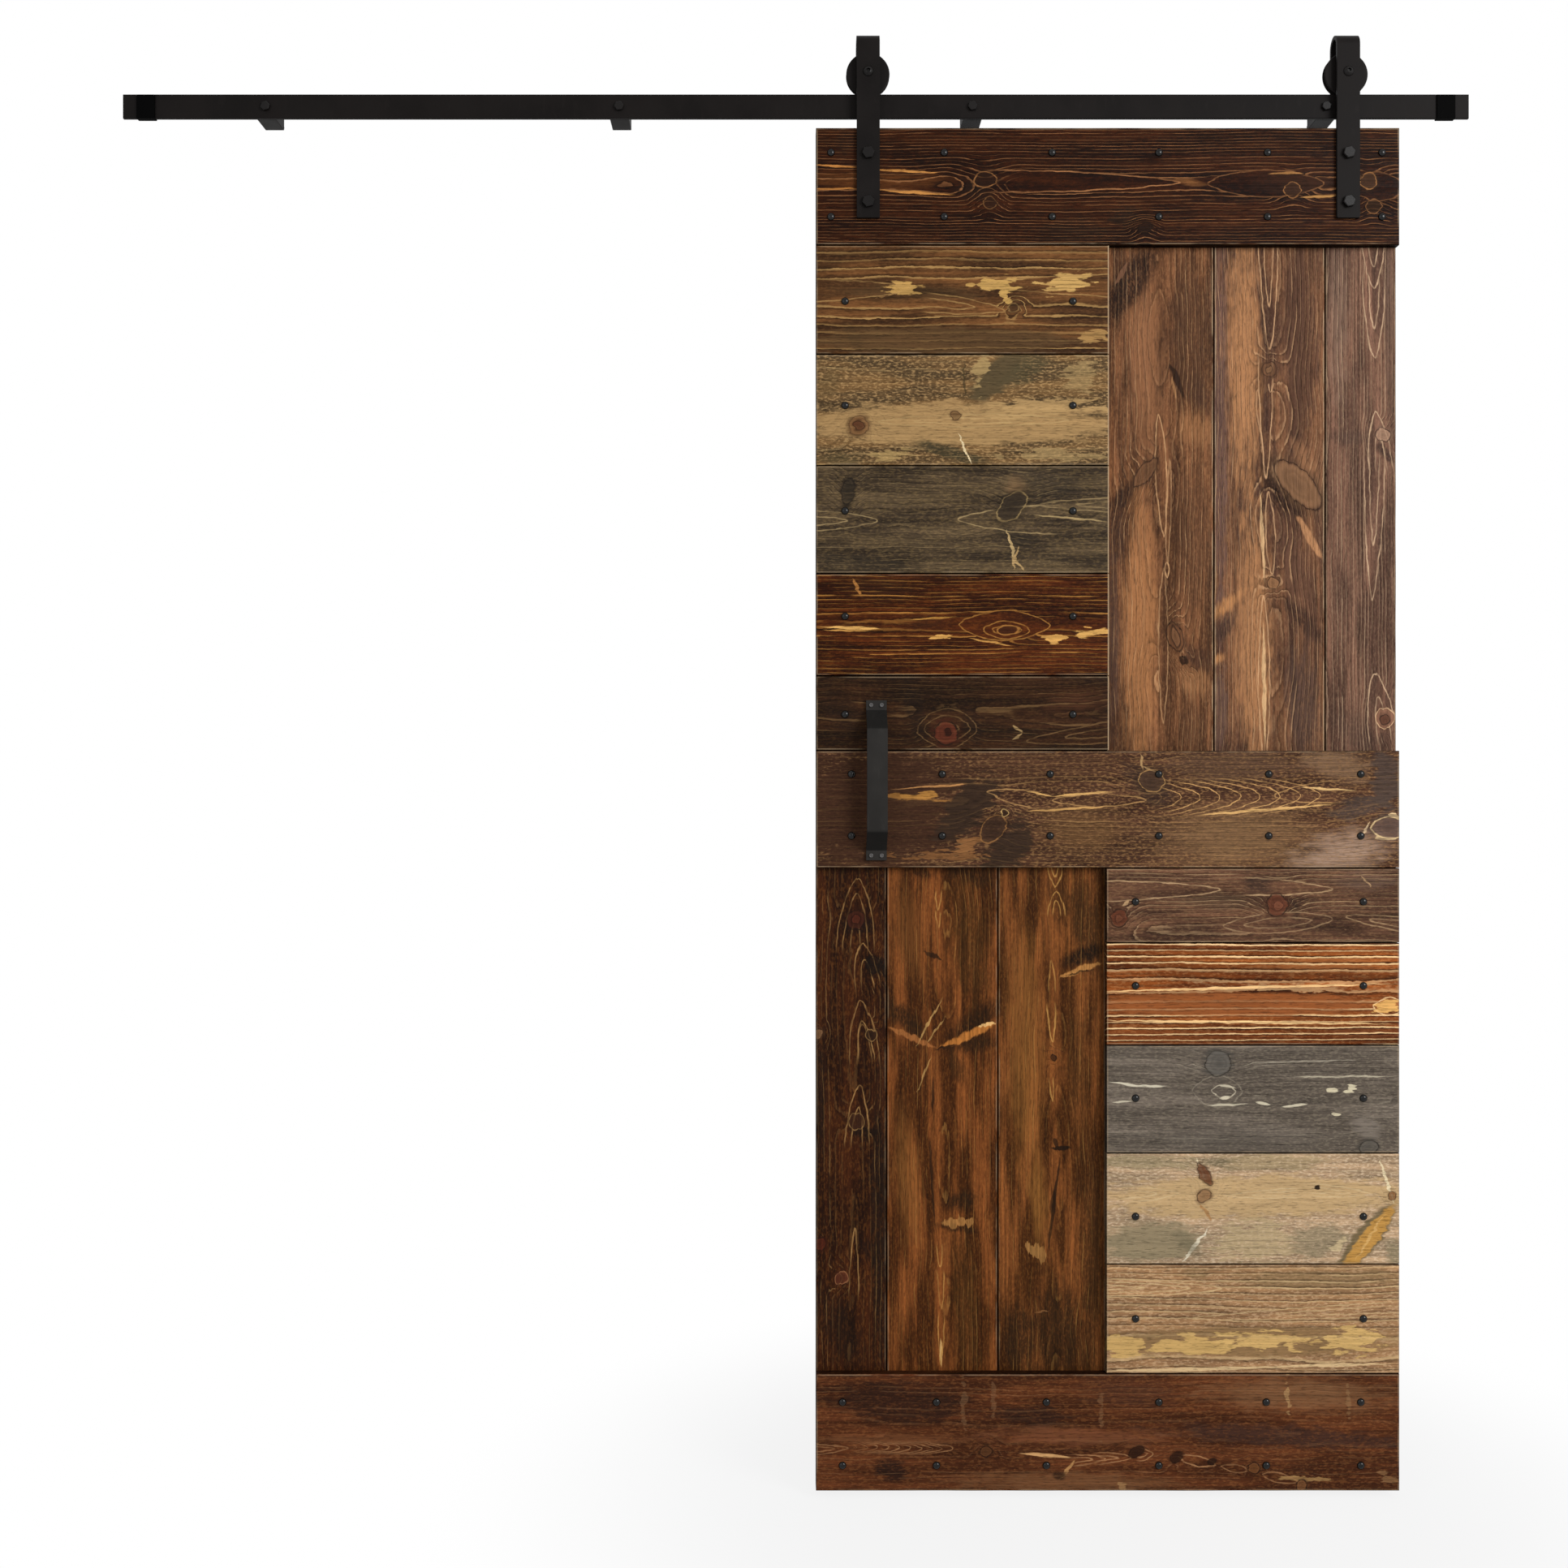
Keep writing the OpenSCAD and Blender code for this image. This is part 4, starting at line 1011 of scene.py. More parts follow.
class Board:
    """The node tree of one board, with the places on it and the noises that several of its layers share."""

    def __init__(self, tree, wood, low, high, grain):
        self.tree, self.wood, self.grain = tree, wood, grain
        size = (high - low) / MM
        self.halves = (size.x / 2, size.z / 2) if grain == "X" else (size.z / 2, size.x / 2)
        front = (low + high) / 2
        front.y = low.y
        axes = board_axes(grain)
        self.middle = axes @ front
        self.place = tree.add(
            "ShaderNodeMapping",
            Vector=tree.add("ShaderNodeTexCoord").outputs["Object"],
            Location=-self.middle / MM, Rotation=axes.to_euler(), Scale=(1 / MM,) * 3,
        ).outputs[0]
        self.along, self.across, self.through = tree.add("ShaderNodeSeparateXYZ", Vector=self.place).outputs
        jolt = tree.vector("SUBTRACT", self.cloud(JOLT, "Color"), (0.5, 0.5, 0.5))
        self.uneven = tree.vector("MULTIPLY_ADD", jolt, JOLT_REACH, self.place)
        self.crag = tree.math("SUBTRACT", self.cloud(CRAG), 0.5)
        self.chip = tree.span(self.cloud(CHIP), 0.38, 0.54, 0.45, 1.0)
        self.fibre = self.cloud(FIBRE)
        self.pore = tree.span(self.cloud(PORE), 0.54, 0.66)
        self.fleck = tree.span(self.cloud(FLECK), 0.48, 0.62)

    def cloud(self, cloud, output="Fac"):
        """One of the noises above, from this board's own seed."""
        return self.tree.noise(self.place, cloud.period, self.wood.seed + cloud.seed, cloud.detail, output)

    def local(self, px, py):
        """A pixel of the photograph as millimetres along and across the board."""
        x, z = leaf_point(px, py)
        along, across = (x, z) if self.grain == "X" else (z, x)
        return Vector(((along - self.middle.x) / MM, (across - self.middle.y) / MM))

    def rim(self, mark, shape, reach=1.0):
        """Distance from a mark's middle, 1 at its rim, its slope per millimetre and the place on it."""
        tree = self.tree
        start, end = self.local(mark.x0, mark.y0), self.local(mark.x1, mark.y1)
        axis = end - start
        middle = (start + end) / 2
        half = axis.length / 2 * reach
        wide = mark.wide * PIXEL / MM * reach
        node = tree.add(
            "ShaderNodeMapping", {"vector_type": "TEXTURE"}, Vector=self.uneven, Location=(*middle, 0),
            Rotation=(0, 0, math.atan2(axis.y, axis.x)), Scale=(half, wide, 1 / MM),
        )
        if shape == "oval":
            return tree.vector("LENGTH", node.outputs[0]), 1 / wide, None, None
        u, v, _ = tree.add("ShaderNodeSeparateXYZ", Vector=node.outputs[0]).outputs
        tip = tree.math("MULTIPLY_ADD", u, 0.5, 0.5)
        if shape == "nest":
            away = tree.math("MULTIPLY_ADD", tree.math("MULTIPLY", v, v), BLUNT, tip)
            steep = tree.math("MULTIPLY", v, 2 * BLUNT / wide)
            slope = tree.math("SQRT", tree.math("MULTIPLY_ADD", steep, steep, (0.5 / half) ** 2))
            return away, slope, u, v
        ahead = u if shape == "leaf" else tree.math("MAXIMUM", tip, 0.0)
        side = tree.math("SQRT", tree.math("MULTIPLY_ADD", v, v, TIP**2))
        away = tree.math("MULTIPLY_ADD", ahead, ahead, side)
        steep = tree.math("DIVIDE", tree.math("MULTIPLY", v, 1 / wide), side)
        gentle = tree.math("MULTIPLY", ahead, (2 if shape == "leaf" else 1) / half)
        least = tree.math("MULTIPLY_ADD", gentle, gentle, (0.2 / wide) ** 2)
        return away, tree.math("SQRT", tree.math("MULTIPLY_ADD", steep, steep, least)), u, v


def wood_material(name, wood, low, high, grain, leaf):
    """Brushed and stained softwood: raised light grain over a darker stain, with its knots, worn and darker
    edges, and a painted highlight at a lit end.
    """
    material, tree, shader = new_material(name)
    board = Board(tree, wood, low, high, grain)
    crest, furrow, outlines = grain_lines(board)
    colour, cover = stained(board)
    colour = grained(board, colour, cover, crest, furrow, outlines)
    for mark in wood.knots:
        colour = knot_colour(board, mark, colour)
    colour = tree.shade(colour, tree.span(board.fibre, 0.3, 0.7, 1 - wood.fibre, 1 + wood.fibre))
    colour = worn_and_highlit_edges(board, colour, tuple(leaf.worn))
    height = tree.math("MULTIPLY_ADD", crest, 0.7, tree.math("MULTIPLY", furrow, -0.7))
    height = tree.math("MULTIPLY_ADD", board.fibre, 0.6, height)
    height = tree.math("MULTIPLY_ADD", board.pore, -0.3, height)
    bump = tree.add("ShaderNodeBump", Strength=1.0, Distance=leaf.grain_relief, Height=height)
    tree.put(shader.inputs["Base Color"], colour)
    tree.put(shader.inputs["Roughness"], tree.span(board.fibre, 0.25, 0.75, 0.62, 0.42))
    tree.put(shader.inputs["Specular IOR Level"], WOOD_GLOSS)
    tree.put(shader.inputs["Normal"], bump.outputs[0])
    return material


def grain_lines(board):
    """Crests and furrows of the rings, bent round the knots, and the outlines of the figures."""
    tree, wood = board.tree, board.wood
    ring = ring_count(board)
    for mark in wood.knots:
        away = board.rim(mark, "oval", KNOT_REACH)[0]
        ring = tree.math("MULTIPLY_ADD", tree.span(away, 0.0, 1.6, 1.0, 0.0), mark.bend, ring)
    crest, furrow = ring_profile(board, ring)
    covered, outlines = 0.0, 0.0
    for mark in wood.figures:
        covered, outlines = add_figure(board, mark, covered, outlines)
    outlines = tree.math("MULTIPLY", outlines, board.chip)
    clear = tree.math("SUBTRACT", 1.0, covered)
    return tree.math("MULTIPLY", crest, clear), tree.math("MULTIPLY", furrow, clear), outlines


def ring_count(board):
    """How many yearly rings a point lies from the pith, which drifts along the board."""
    tree, wood = board.tree, board.wood
    sway, drift = tree.swing(board.cloud(SWAY)), tree.swing(board.cloud(DRIFT))
    beside = tree.math("SUBTRACT", board.across, wood.pith[0])
    above = tree.math("ADD", board.through, wood.pith[1])
    pith_across = tree.math("MULTIPLY_ADD", sway, wood.sway, beside)
    pith_deep = tree.math("MULTIPLY_ADD", drift, wood.drift, above)
    away = tree.add("ShaderNodeCombineXYZ", X=pith_across, Y=pith_deep, Z=0.0).outputs[0]
    ring = tree.math("DIVIDE", tree.vector("LENGTH", away), wood.pitch)
    ring = tree.math("MULTIPLY_ADD", tree.swing(board.cloud(RIPPLE)), wood.ripple, ring)
    return tree.math("MULTIPLY_ADD", tree.swing(board.cloud(JAG)), 0.07, ring)


def ring_profile(board, ring):
    """A light crest that rises slowly and drops sharply, and the dark furrow beside it, for each ring."""
    tree, wood = board.tree, board.wood
    luck = tree.add("ShaderNodeTexWhiteNoise", {"noise_dimensions": "1D"})
    tree.put(luck.inputs["W"], tree.math("ADD", tree.math("FLOOR", ring), wood.seed * 10))
    chance = luck.outputs["Value"]
    phase = tree.math("FRACT", ring)
    breadth = tree.math("MULTIPLY_ADD", chance, wood.width * 1.6, wood.width * 0.9)
    rise = tree.math("DIVIDE", tree.math("SUBTRACT", 0.97, phase), breadth)
    crest = tree.math("MULTIPLY", tree.span(rise, 0.5, 1.25, 1.0, 0.0), tree.span(phase, 0.96, 1.0, 1.0, 0.0))
    furrow = tree.span(phase, 0.0, wood.width * 2.4, 1.0, 0.0)
    rarity = tree.math("POWER", tree.math("FRACT", tree.math("MULTIPLY", chance, 7.77)), wood.accent)
    dashes = tree.span(board.cloud(DASHES), wood.broken - 0.08, wood.broken + 0.12)
    level = tree.math("MULTIPLY", dashes, tree.math("MULTIPLY_ADD", rarity, 0.8, 0.2))
    return tree.math("MULTIPLY", crest, level), furrow


def add_figure(board, mark, covered, outlines):
    """Clears the inside of a figure and draws its outline and the nested ones at an even thickness."""
    tree = board.tree
    away, slope, u, v = board.rim(mark, mark.shape)
    inside = tree.span(away, 0.97, 1.05, 1.0, 0.0)
    count = tree.math("MULTIPLY", tree.math("SUBTRACT", 1.0, away), mark.rings)
    gap = tree.math("ABSOLUTE", tree.math("SUBTRACT", tree.math("FRACT", tree.math("ADD", count, 0.5)), 0.5))
    off = tree.math("DIVIDE", gap, tree.math("MULTIPLY", slope, mark.rings))
    thick = OUTLINE * (NEST_SHARE if mark.shape == "nest" else 1)
    drawn = tree.span(off, thick * 0.3, thick, mark.level, 0.0)
    drawn = tree.math("MULTIPLY", drawn, tree.math("GREATER_THAN", count, -0.4))
    if mark.shape != "leaf":
        shown = tree.span(u, -1.2, -0.7)
        if mark.shape == "nest":
            shown = tree.math("MULTIPLY", shown, tree.span(tree.math("ABSOLUTE", v), 0.5, 1.1, 1.0, 0.0))
        inside = tree.math("MULTIPLY", inside, shown)
        drawn = tree.math("MULTIPLY", drawn, shown)
    return tree.math("MAXIMUM", covered, inside), tree.math("MAXIMUM", outlines, drawn)


def stained(board):
    """Stain that soaks in unevenly, with its streaks, flecks and spots, and how far crisp spots cover it."""
    tree, wood = board.tree, board.wood
    soak = tree.span(board.cloud(SOAK), 0.38, 0.62)
    streak = tree.span(board.cloud(STREAK), 0.3, 0.7, 1 - wood.streak, 1 + wood.streak)
    colour = tree.mix(tree.math("MULTIPLY", soak, wood.mottle), linear(wood.base), linear(wood.deep))
    colour = tree.shade(colour, streak)
    colour = tree.mix(tree.math("MULTIPLY", board.fleck, wood.speckle * 0.5), colour, linear(wood.line))
    colour = tree.add("ShaderNodeGamma", Color=colour, Gamma=CONTRAST).outputs[0]
    colour = tree.mix(1.0, colour, wood.tint, "MULTIPLY")
    cover = 0.0
    thin = tree.math("MULTIPLY_ADD", board.fleck, -0.3, 1.0)
    for mark in wood.stains:
        away = board.rim(mark, mark.shape)[0]
        away = tree.math("MULTIPLY_ADD", board.crag, mark.rag * 2.2, away)
        patch = tree.span(away, 1 - mark.soft, 1 + mark.soft, mark.strength, 0.0)
        if mark.soft < CRISP:
            cover = tree.math("MAXIMUM", patch, cover)
        else:
            patch = tree.math("MULTIPLY", patch, thin)
        colour = tree.mix(patch, colour, linear(mark.colour))
    return colour, cover


def grained(board, colour, cover, crest, furrow, outlines):
    """The stain with its furrows and pores darker, and its crests and outlines in light wood."""
    tree, wood = board.tree, board.wood
    open_grain = tree.math("MULTIPLY", tree.math("MULTIPLY_ADD", cover, -0.75, 1.0), wood.vigour)
    furrow_level = tree.math("MULTIPLY", tree.math("MULTIPLY", furrow, open_grain), -0.8)
    colour = tree.shade(colour, tree.math("ADD", furrow_level, 1.0))
    colour = tree.shade(colour, tree.math("MULTIPLY_ADD", board.pore, -0.35, 1.0))
    drawn = tree.math("MULTIPLY", outlines, 0.8)
    strength = tree.math("MAXIMUM", tree.math("MULTIPLY", crest, open_grain), drawn)
    return tree.mix(tree.math("MINIMUM", strength, 1.0), colour, linear(wood.line))


def knot_colour(board, mark, colour):
    """A disc with a dark heart and faint rings, a broken outline and a darker side."""
    tree = board.tree
    away, slope = board.rim(mark, mark.shape)[:2]
    core = linear(mark.core)
    dark = tuple(c * 0.4 for c in core)
    side = tree.math("MULTIPLY", tree.span(away, 1.0, 1.6, 0.9, 0.0), tree.math("SUBTRACT", 1.3, board.chip))
    colour = tree.mix(side, colour, dark)
    rings = tree.span(tree.math("SINE", tree.math("MULTIPLY", away, 14.0)), -0.6, 1.0, 0.0, 0.35)
    heart = tree.span(away, 0.1, 0.6, 0.5, 0.0)
    disc = tree.mix(tree.math("MAXIMUM", rings, heart), core, dark)
    colour = tree.mix(tree.span(away, 0.8, 1.04, mark.fill, 0.0), colour, disc)
    off = tree.math("DIVIDE", tree.math("ABSOLUTE", tree.math("SUBTRACT", away, 1.0)), slope)
    rim = tree.math("MULTIPLY", tree.span(off, OUTLINE * 0.2, OUTLINE, 0.85, 0.0), board.chip)
    return tree.mix(rim, colour, linear(mark.outline) if mark.outline else dark)


def worn_and_highlit_edges(board, colour, bare_wood):
    """Bare wood and darker bands along the edges, and a painted highlight across a lit right end."""
    tree, wood = board.tree, board.wood
    half_along, half_across = board.halves
    right_end = tree.math("SUBTRACT", half_along, board.along)
    left_end = tree.math("ADD", half_along, board.along)
    inset_across = tree.math("SUBTRACT", half_across, tree.math("ABSOLUTE", board.across))
    inset = tree.math("MINIMUM", left_end, inset_across)
    # A lit right end gets neither the bare band nor the darkening; the painted highlight below takes their
    # place
    if not wood.lit_end:
        inset = tree.math("MINIMUM", inset, right_end)
    chafe = tree.span(board.cloud(CHAFE), 0.35, 0.6)
    off = tree.math("ABSOLUTE", tree.math("SUBTRACT", inset, BARE_INSET))
    bare = tree.span(off, *BARE_BAND, wood.worn, 0.0)
    colour = tree.mix(tree.math("MULTIPLY", bare, chafe), colour, bare_wood)
    # Darker towards each edge, down to a fifth of the tone half a millimetre in
    colour = tree.shade(colour, tree.span(inset, *EDGE_DARKENING_REACH, 0.2, 1.0))
    # Painted highlight: a lit right end turns pale where its eased edge catches the key light
    if wood.lit_end:
        colour = tree.mix(tree.span(right_end, *LIT_REACH, 0.85, 0.0), colour, bare_wood)
    return colour


# Steel and rubber

@dataclass
class Coat:
    """A coat: the setting that holds its colour and its share of it, then its gloss and its pebbled skin."""

    colour: str
    level: float
    rough: float
    specular: float
    # Depth and size of the pebbles in millimetres, and the level of the painted shade on faces that don't
    # look to the front
    grit: float = 0.04
    pebble: float = 1.6
    turned: float = 1.0


COATS = {
    "black coat": Coat("black", 1, 0.5, 0.06),
    # The handle's slopes get painted shade: faces turned from the front are drawn darker
    "handle coat": Coat("handle", 1, 0.45, 0.08, turned=0.45),
    "bolt black": Coat("black", 0.85, 0.3, 0.14, 0.02),
    "nail black": Coat("black", 0.15, 0.15, 0.28, 0.0),
    "screw steel": Coat("black", 3, 0.2, 1.0, 0.01),
    "rubber": Coat("rubber", 1, 0.75, 0.02, 0.08, 0.9),
}


def millimetre_place(tree):
    """The place on a piece in millimetres."""
    place = tree.vector("SCALE", tree.add("ShaderNodeTexCoord").outputs["Object"])
    tree.put(place.node.inputs["Scale"], 1 / MM)
    return place


def coat_material(name, coat, colour):
    """A powder coat: fine pebbled skin, faint clouds and slightly uneven gloss, with painted shade on faces
    that don't look to the front when turned is below 1.
    """
    material, tree, shader = new_material(name)
    place = millimetre_place(tree)
    cloud = tree.noise(place, (70, 70, 70), 2.0, 4.0)
    pebble = tree.noise(place, (coat.pebble,) * 3, 5.0, 2.0)
    scuff = tree.span(tree.noise(place, (9, 9, 30), 7.0, 4.0), 0.58, 0.72)
    darker, lighter, scuffed = (tuple(c * level for c in colour) for level in (0.8, 1.2, 1.9))
    tone = tree.mix(tree.span(cloud, 0.3, 0.7), darker, lighter)
    tone = tree.mix(tree.math("MULTIPLY", scuff, 0.2), tone, scuffed)
    # Painted shade: faces that turn away from the front, such as the handle's slopes, are drawn darker
    if coat.turned < 1:
        normal = tree.add("ShaderNodeNewGeometry").outputs["True Normal"]
        front = tree.math("ABSOLUTE", tree.add("ShaderNodeSeparateXYZ", Vector=normal).outputs["Y"])
        tone = tree.shade(tone, tree.span(front, 0.75, 0.97, coat.turned, 1.0))
    bump = tree.add("ShaderNodeBump", Strength=0.5, Distance=coat.grit * MM, Height=pebble)
    tree.put(shader.inputs["Base Color"], tone)
    tree.put(shader.inputs["Roughness"], tree.span(cloud, 0.25, 0.75, coat.rough - 0.06, coat.rough + 0.06))
    tree.put(shader.inputs["Specular IOR Level"], coat.specular)
    tree.put(shader.inputs["Normal"], bump.outputs[0])
    return material


def bright_material(name, colour):
    """Ground bearing steel with faint turning marks."""
    material, tree, shader = new_material(name)
    marks = tree.noise(millimetre_place(tree), (4, 0.4, 4), 3.0, 3.0)
    tree.put(shader.inputs["Base Color"], tree.mix(marks, tuple(c * 0.8 for c in colour), colour))
    tree.put(shader.inputs["Metallic"], 1.0)
    tree.put(shader.inputs["Roughness"], tree.span(marks, 0.2, 0.8, 0.2, 0.38))
    return material


def finish_of(key):
    """The coat or the bearing steel of that name, made once."""
    steel = bpy.context.scene.barn_steel
    found = bpy.data.materials.get(key)
    if found:
        return found
    if key == "bearing steel":
        return bright_material(key, tuple(steel.bright))
    coat = COATS[key]
    return coat_material(key, coat, tuple(c * coat.level for c in getattr(steel, coat.colour)))


# Meshes

# Points nearer than this are one, and faces at less than this angle are one flat face
WELD = 0.002 * MM
FLAT = math.radians(0.5)

# Edges past these angles are rounded on steel, and stay sharp on steel and on wood
ROUNDED_ANGLE = math.radians(28)
STEEL_CREASE = math.radians(35)
WOOD_CREASE = math.radians(40)


def new_piece(name, mesh, material, body, slot, *nodes):
    """An object for a finished mesh that stands for these CAD nodes and moves with their body."""
    mesh.materials.clear()
    mesh.materials.append(material)
    piece = bpy.data.objects.new(name, mesh)
    bpy.context.scene.collection.objects.link(piece)
    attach(piece, body)
    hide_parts(*nodes)
    return piece


def merged_copy(node):
    """A bmesh of a CAD node with its doubles merged and its flat faces made whole."""
    shape = bmesh.new()
    shape.from_mesh(frame["nodes"][node].data)
    bmesh.ops.remove_doubles(shape, verts=shape.verts, dist=WELD)
    bmesh.ops.dissolve_limit(
        shape, angle_limit=FLAT, verts=shape.verts, edges=shape.edges, delimit={"NORMAL"},
    )
    return shape


def softened(name, node, width, material, slot, segments=3):
    """A copy of a CAD node with its sharp edges rounded."""
    shape = merged_copy(node)
    sharp = [e for e in shape.edges if e.is_manifold and e.calc_face_angle(0) > ROUNDED_ANGLE]
    bmesh.ops.bevel(
        shape, geom=sharp, offset=width, offset_type="OFFSET", segments=segments, profile=0.5,
        affect="EDGES", clamp_overlap=True,
    )
    mesh = bpy.data.meshes.new(name)
    shape.to_mesh(mesh)
    shape.free()
    mesh.shade_smooth()
    mesh.set_sharp_from_angle(angle=STEEL_CREASE)
    piece = new_piece(name, mesh, material, frame["nodes"][node]["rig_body"], slot, node)
    even = piece.modifiers.new("flat faces", "WEIGHTED_NORMAL")
    even.keep_sharp = True
    return piece


def solids_of(node):
    """Lowest and highest corner of each separate solid of a CAD node, from left to right."""
    shape = merged_copy(node)
    left = set(shape.verts)
    boxes = []
    while left:
        group, edge = [], [left.pop()]
        while edge:
            vert = edge.pop()
            group.append(vert.co.copy())
            for link in vert.link_edges:
                other = link.other_vert(vert)
                if other in left:
                    left.remove(other)
                    edge.append(other)
        boxes.append((
            Vector(min(c[i] for c in group) for i in range(3)),
            Vector(max(c[i] for c in group) for i in range(3)),
        ))
    shape.free()
    return sorted(boxes, key=lambda box: (round(box[0].x, 4), box[0].z))


# Steps round an eased edge, and the spacing of the cuts along a board and round it
EASE_STEPS = 4
STATION = 9 * MM
FACE_CUT = 14 * MM

# Where the cuts lie in the rounding at a board's end, as shares of its radius
END_CUTS = (0.0, 0.04, 0.15, 0.35, 0.65, 1.0)

# Lengths over which an edge's radius, its line and the waves of a face change
EASE_PERIOD = 70 * MM
STRAY_PERIOD = 130 * MM
WAVE_PERIOD = (90 * MM, 50 * MM)

# Points this near a board's first edge stray with it, and the others with the far edge
EDGE_ZONE = 10 * MM


def stations(low, high, radius):
    """Places along a board, closer together where its ends are rounded."""
    inner = [radius * share for share in END_CUTS]
    count = max(2, round((high - low) / STATION))
    step = (high - low - 2 * radius) / count
    middle = [low + radius + step * i for i in range(1, count)]
    return [low + r for r in inner] + middle + [high - r for r in reversed(inner)]


def eased_section(corners, at, leaf, seed):
    """Points round a board's section at one place along it. Corners are across, y and whether eased."""
    points = []
    for k, (across, y, eased) in enumerate(corners):
        here = Vector((across, y))
        before = Vector(corners[k - 1][:2])
        after = Vector(corners[(k + 1) % len(corners)][:2])
        back, forth = (before - here).normalized(), (after - here).normalized()
        if eased:
            wander = soft_noise.noise(Vector((at / EASE_PERIOD, seed * 3.7, k * 5.1)))
            radius = leaf.edge_ease * (1 + leaf.ease_wander * wander)
            centre = here + radius * (back + forth)
            for s in range(EASE_STEPS + 1):
                turn = math.radians(90) * s / EASE_STEPS
                points.append(centre - radius * (forth * math.cos(turn) + back * math.sin(turn)))
            here = points[-1]
        else:
            points.append(here)
        reach = (after - Vector(corners[k][:2])).length
        cuts = int(reach / FACE_CUT)
        start = leaf.edge_ease * 2 if eased else 0
        for c in range(1, cuts):
            points.append(Vector(corners[k][:2]) + forth * (start + (reach - 2 * start) * c / cuts))
    return points


def eased_board(node, corners, grain, low, high, leaf, seed):
    """A board lofted along its grain, its front edges sanded unevenly and its faces slightly wavy."""
    shape = bmesh.new()
    front = min(y for _, y, _ in corners)
    back = max(y for _, y, _ in corners)
    span = (low.x, high.x) if grain == "X" else (low.z, high.z)
    span = (span[0] + leaf.seam, span[1] - leaf.seam)
    rows = []
    for at in stations(*span, leaf.edge_ease):
        inset = min(at - span[0], span[1] - at)
        drop = 0.0
        if inset < leaf.edge_ease:
            drop = leaf.edge_ease - math.sqrt(leaf.edge_ease**2 - (leaf.edge_ease - inset) ** 2)
        row = []
        for point in eased_section(corners, at, leaf, seed):
            across, y = point
            wave = soft_noise.noise(Vector((at / WAVE_PERIOD[0], across / WAVE_PERIOD[1], seed * 2.3)))
            edge = 1.0 if across > corners[0][0] + EDGE_ZONE else 7.0
            stray = soft_noise.noise(Vector((at / STRAY_PERIOD, seed * 1.9, edge)))
            depth = min(max(y, front + drop), back)
            if depth < back - leaf.edge_ease:
                depth += leaf.face_wave * (1 + wave) / 2
            across += leaf.edge_wander * stray * 0.5
            row.append(shape.verts.new((at, depth, across) if grain == "X" else (across, depth, at)))
        rows.append(row)
    count = len(rows[0])
    for a, b in zip(rows, rows[1:]):
        for i in range(count):
            j = (i + 1) % count
            shape.faces.new((a[i], a[j], b[j], b[i]))
    caps = [shape.faces.new(rows[0]), shape.faces.new(rows[-1])]
    bmesh.ops.triangulate(shape, faces=caps)
    bmesh.ops.recalc_face_normals(shape, faces=shape.faces)
    mesh = bpy.data.meshes.new(f"{node}_wood")
    shape.to_mesh(mesh)
    shape.free()
    mesh.shade_smooth()
    mesh.set_sharp_from_angle(angle=WOOD_CREASE)
    material = wood_material(f"{node} wood", WOODS[node], low, high, grain, leaf)
    return new_piece(f"{node}_wood", mesh, material, "door", node, node)


# Fasteners

# Height of a thread's ridge as a share of its pitch
THREAD_RIDGE = 0.32

# A bolt head's chamfer as a share of its height, and its top as a share of its radius
HEAD_CHAMFER = 0.16
HEAD_TOP = 0.88

# Sides of a hex head or nut, and of a round washer
HEX = 6
ROUND = 48

# How finely the hammer marks lie, in marks per metre
HAMMER_MARKS = 420.0


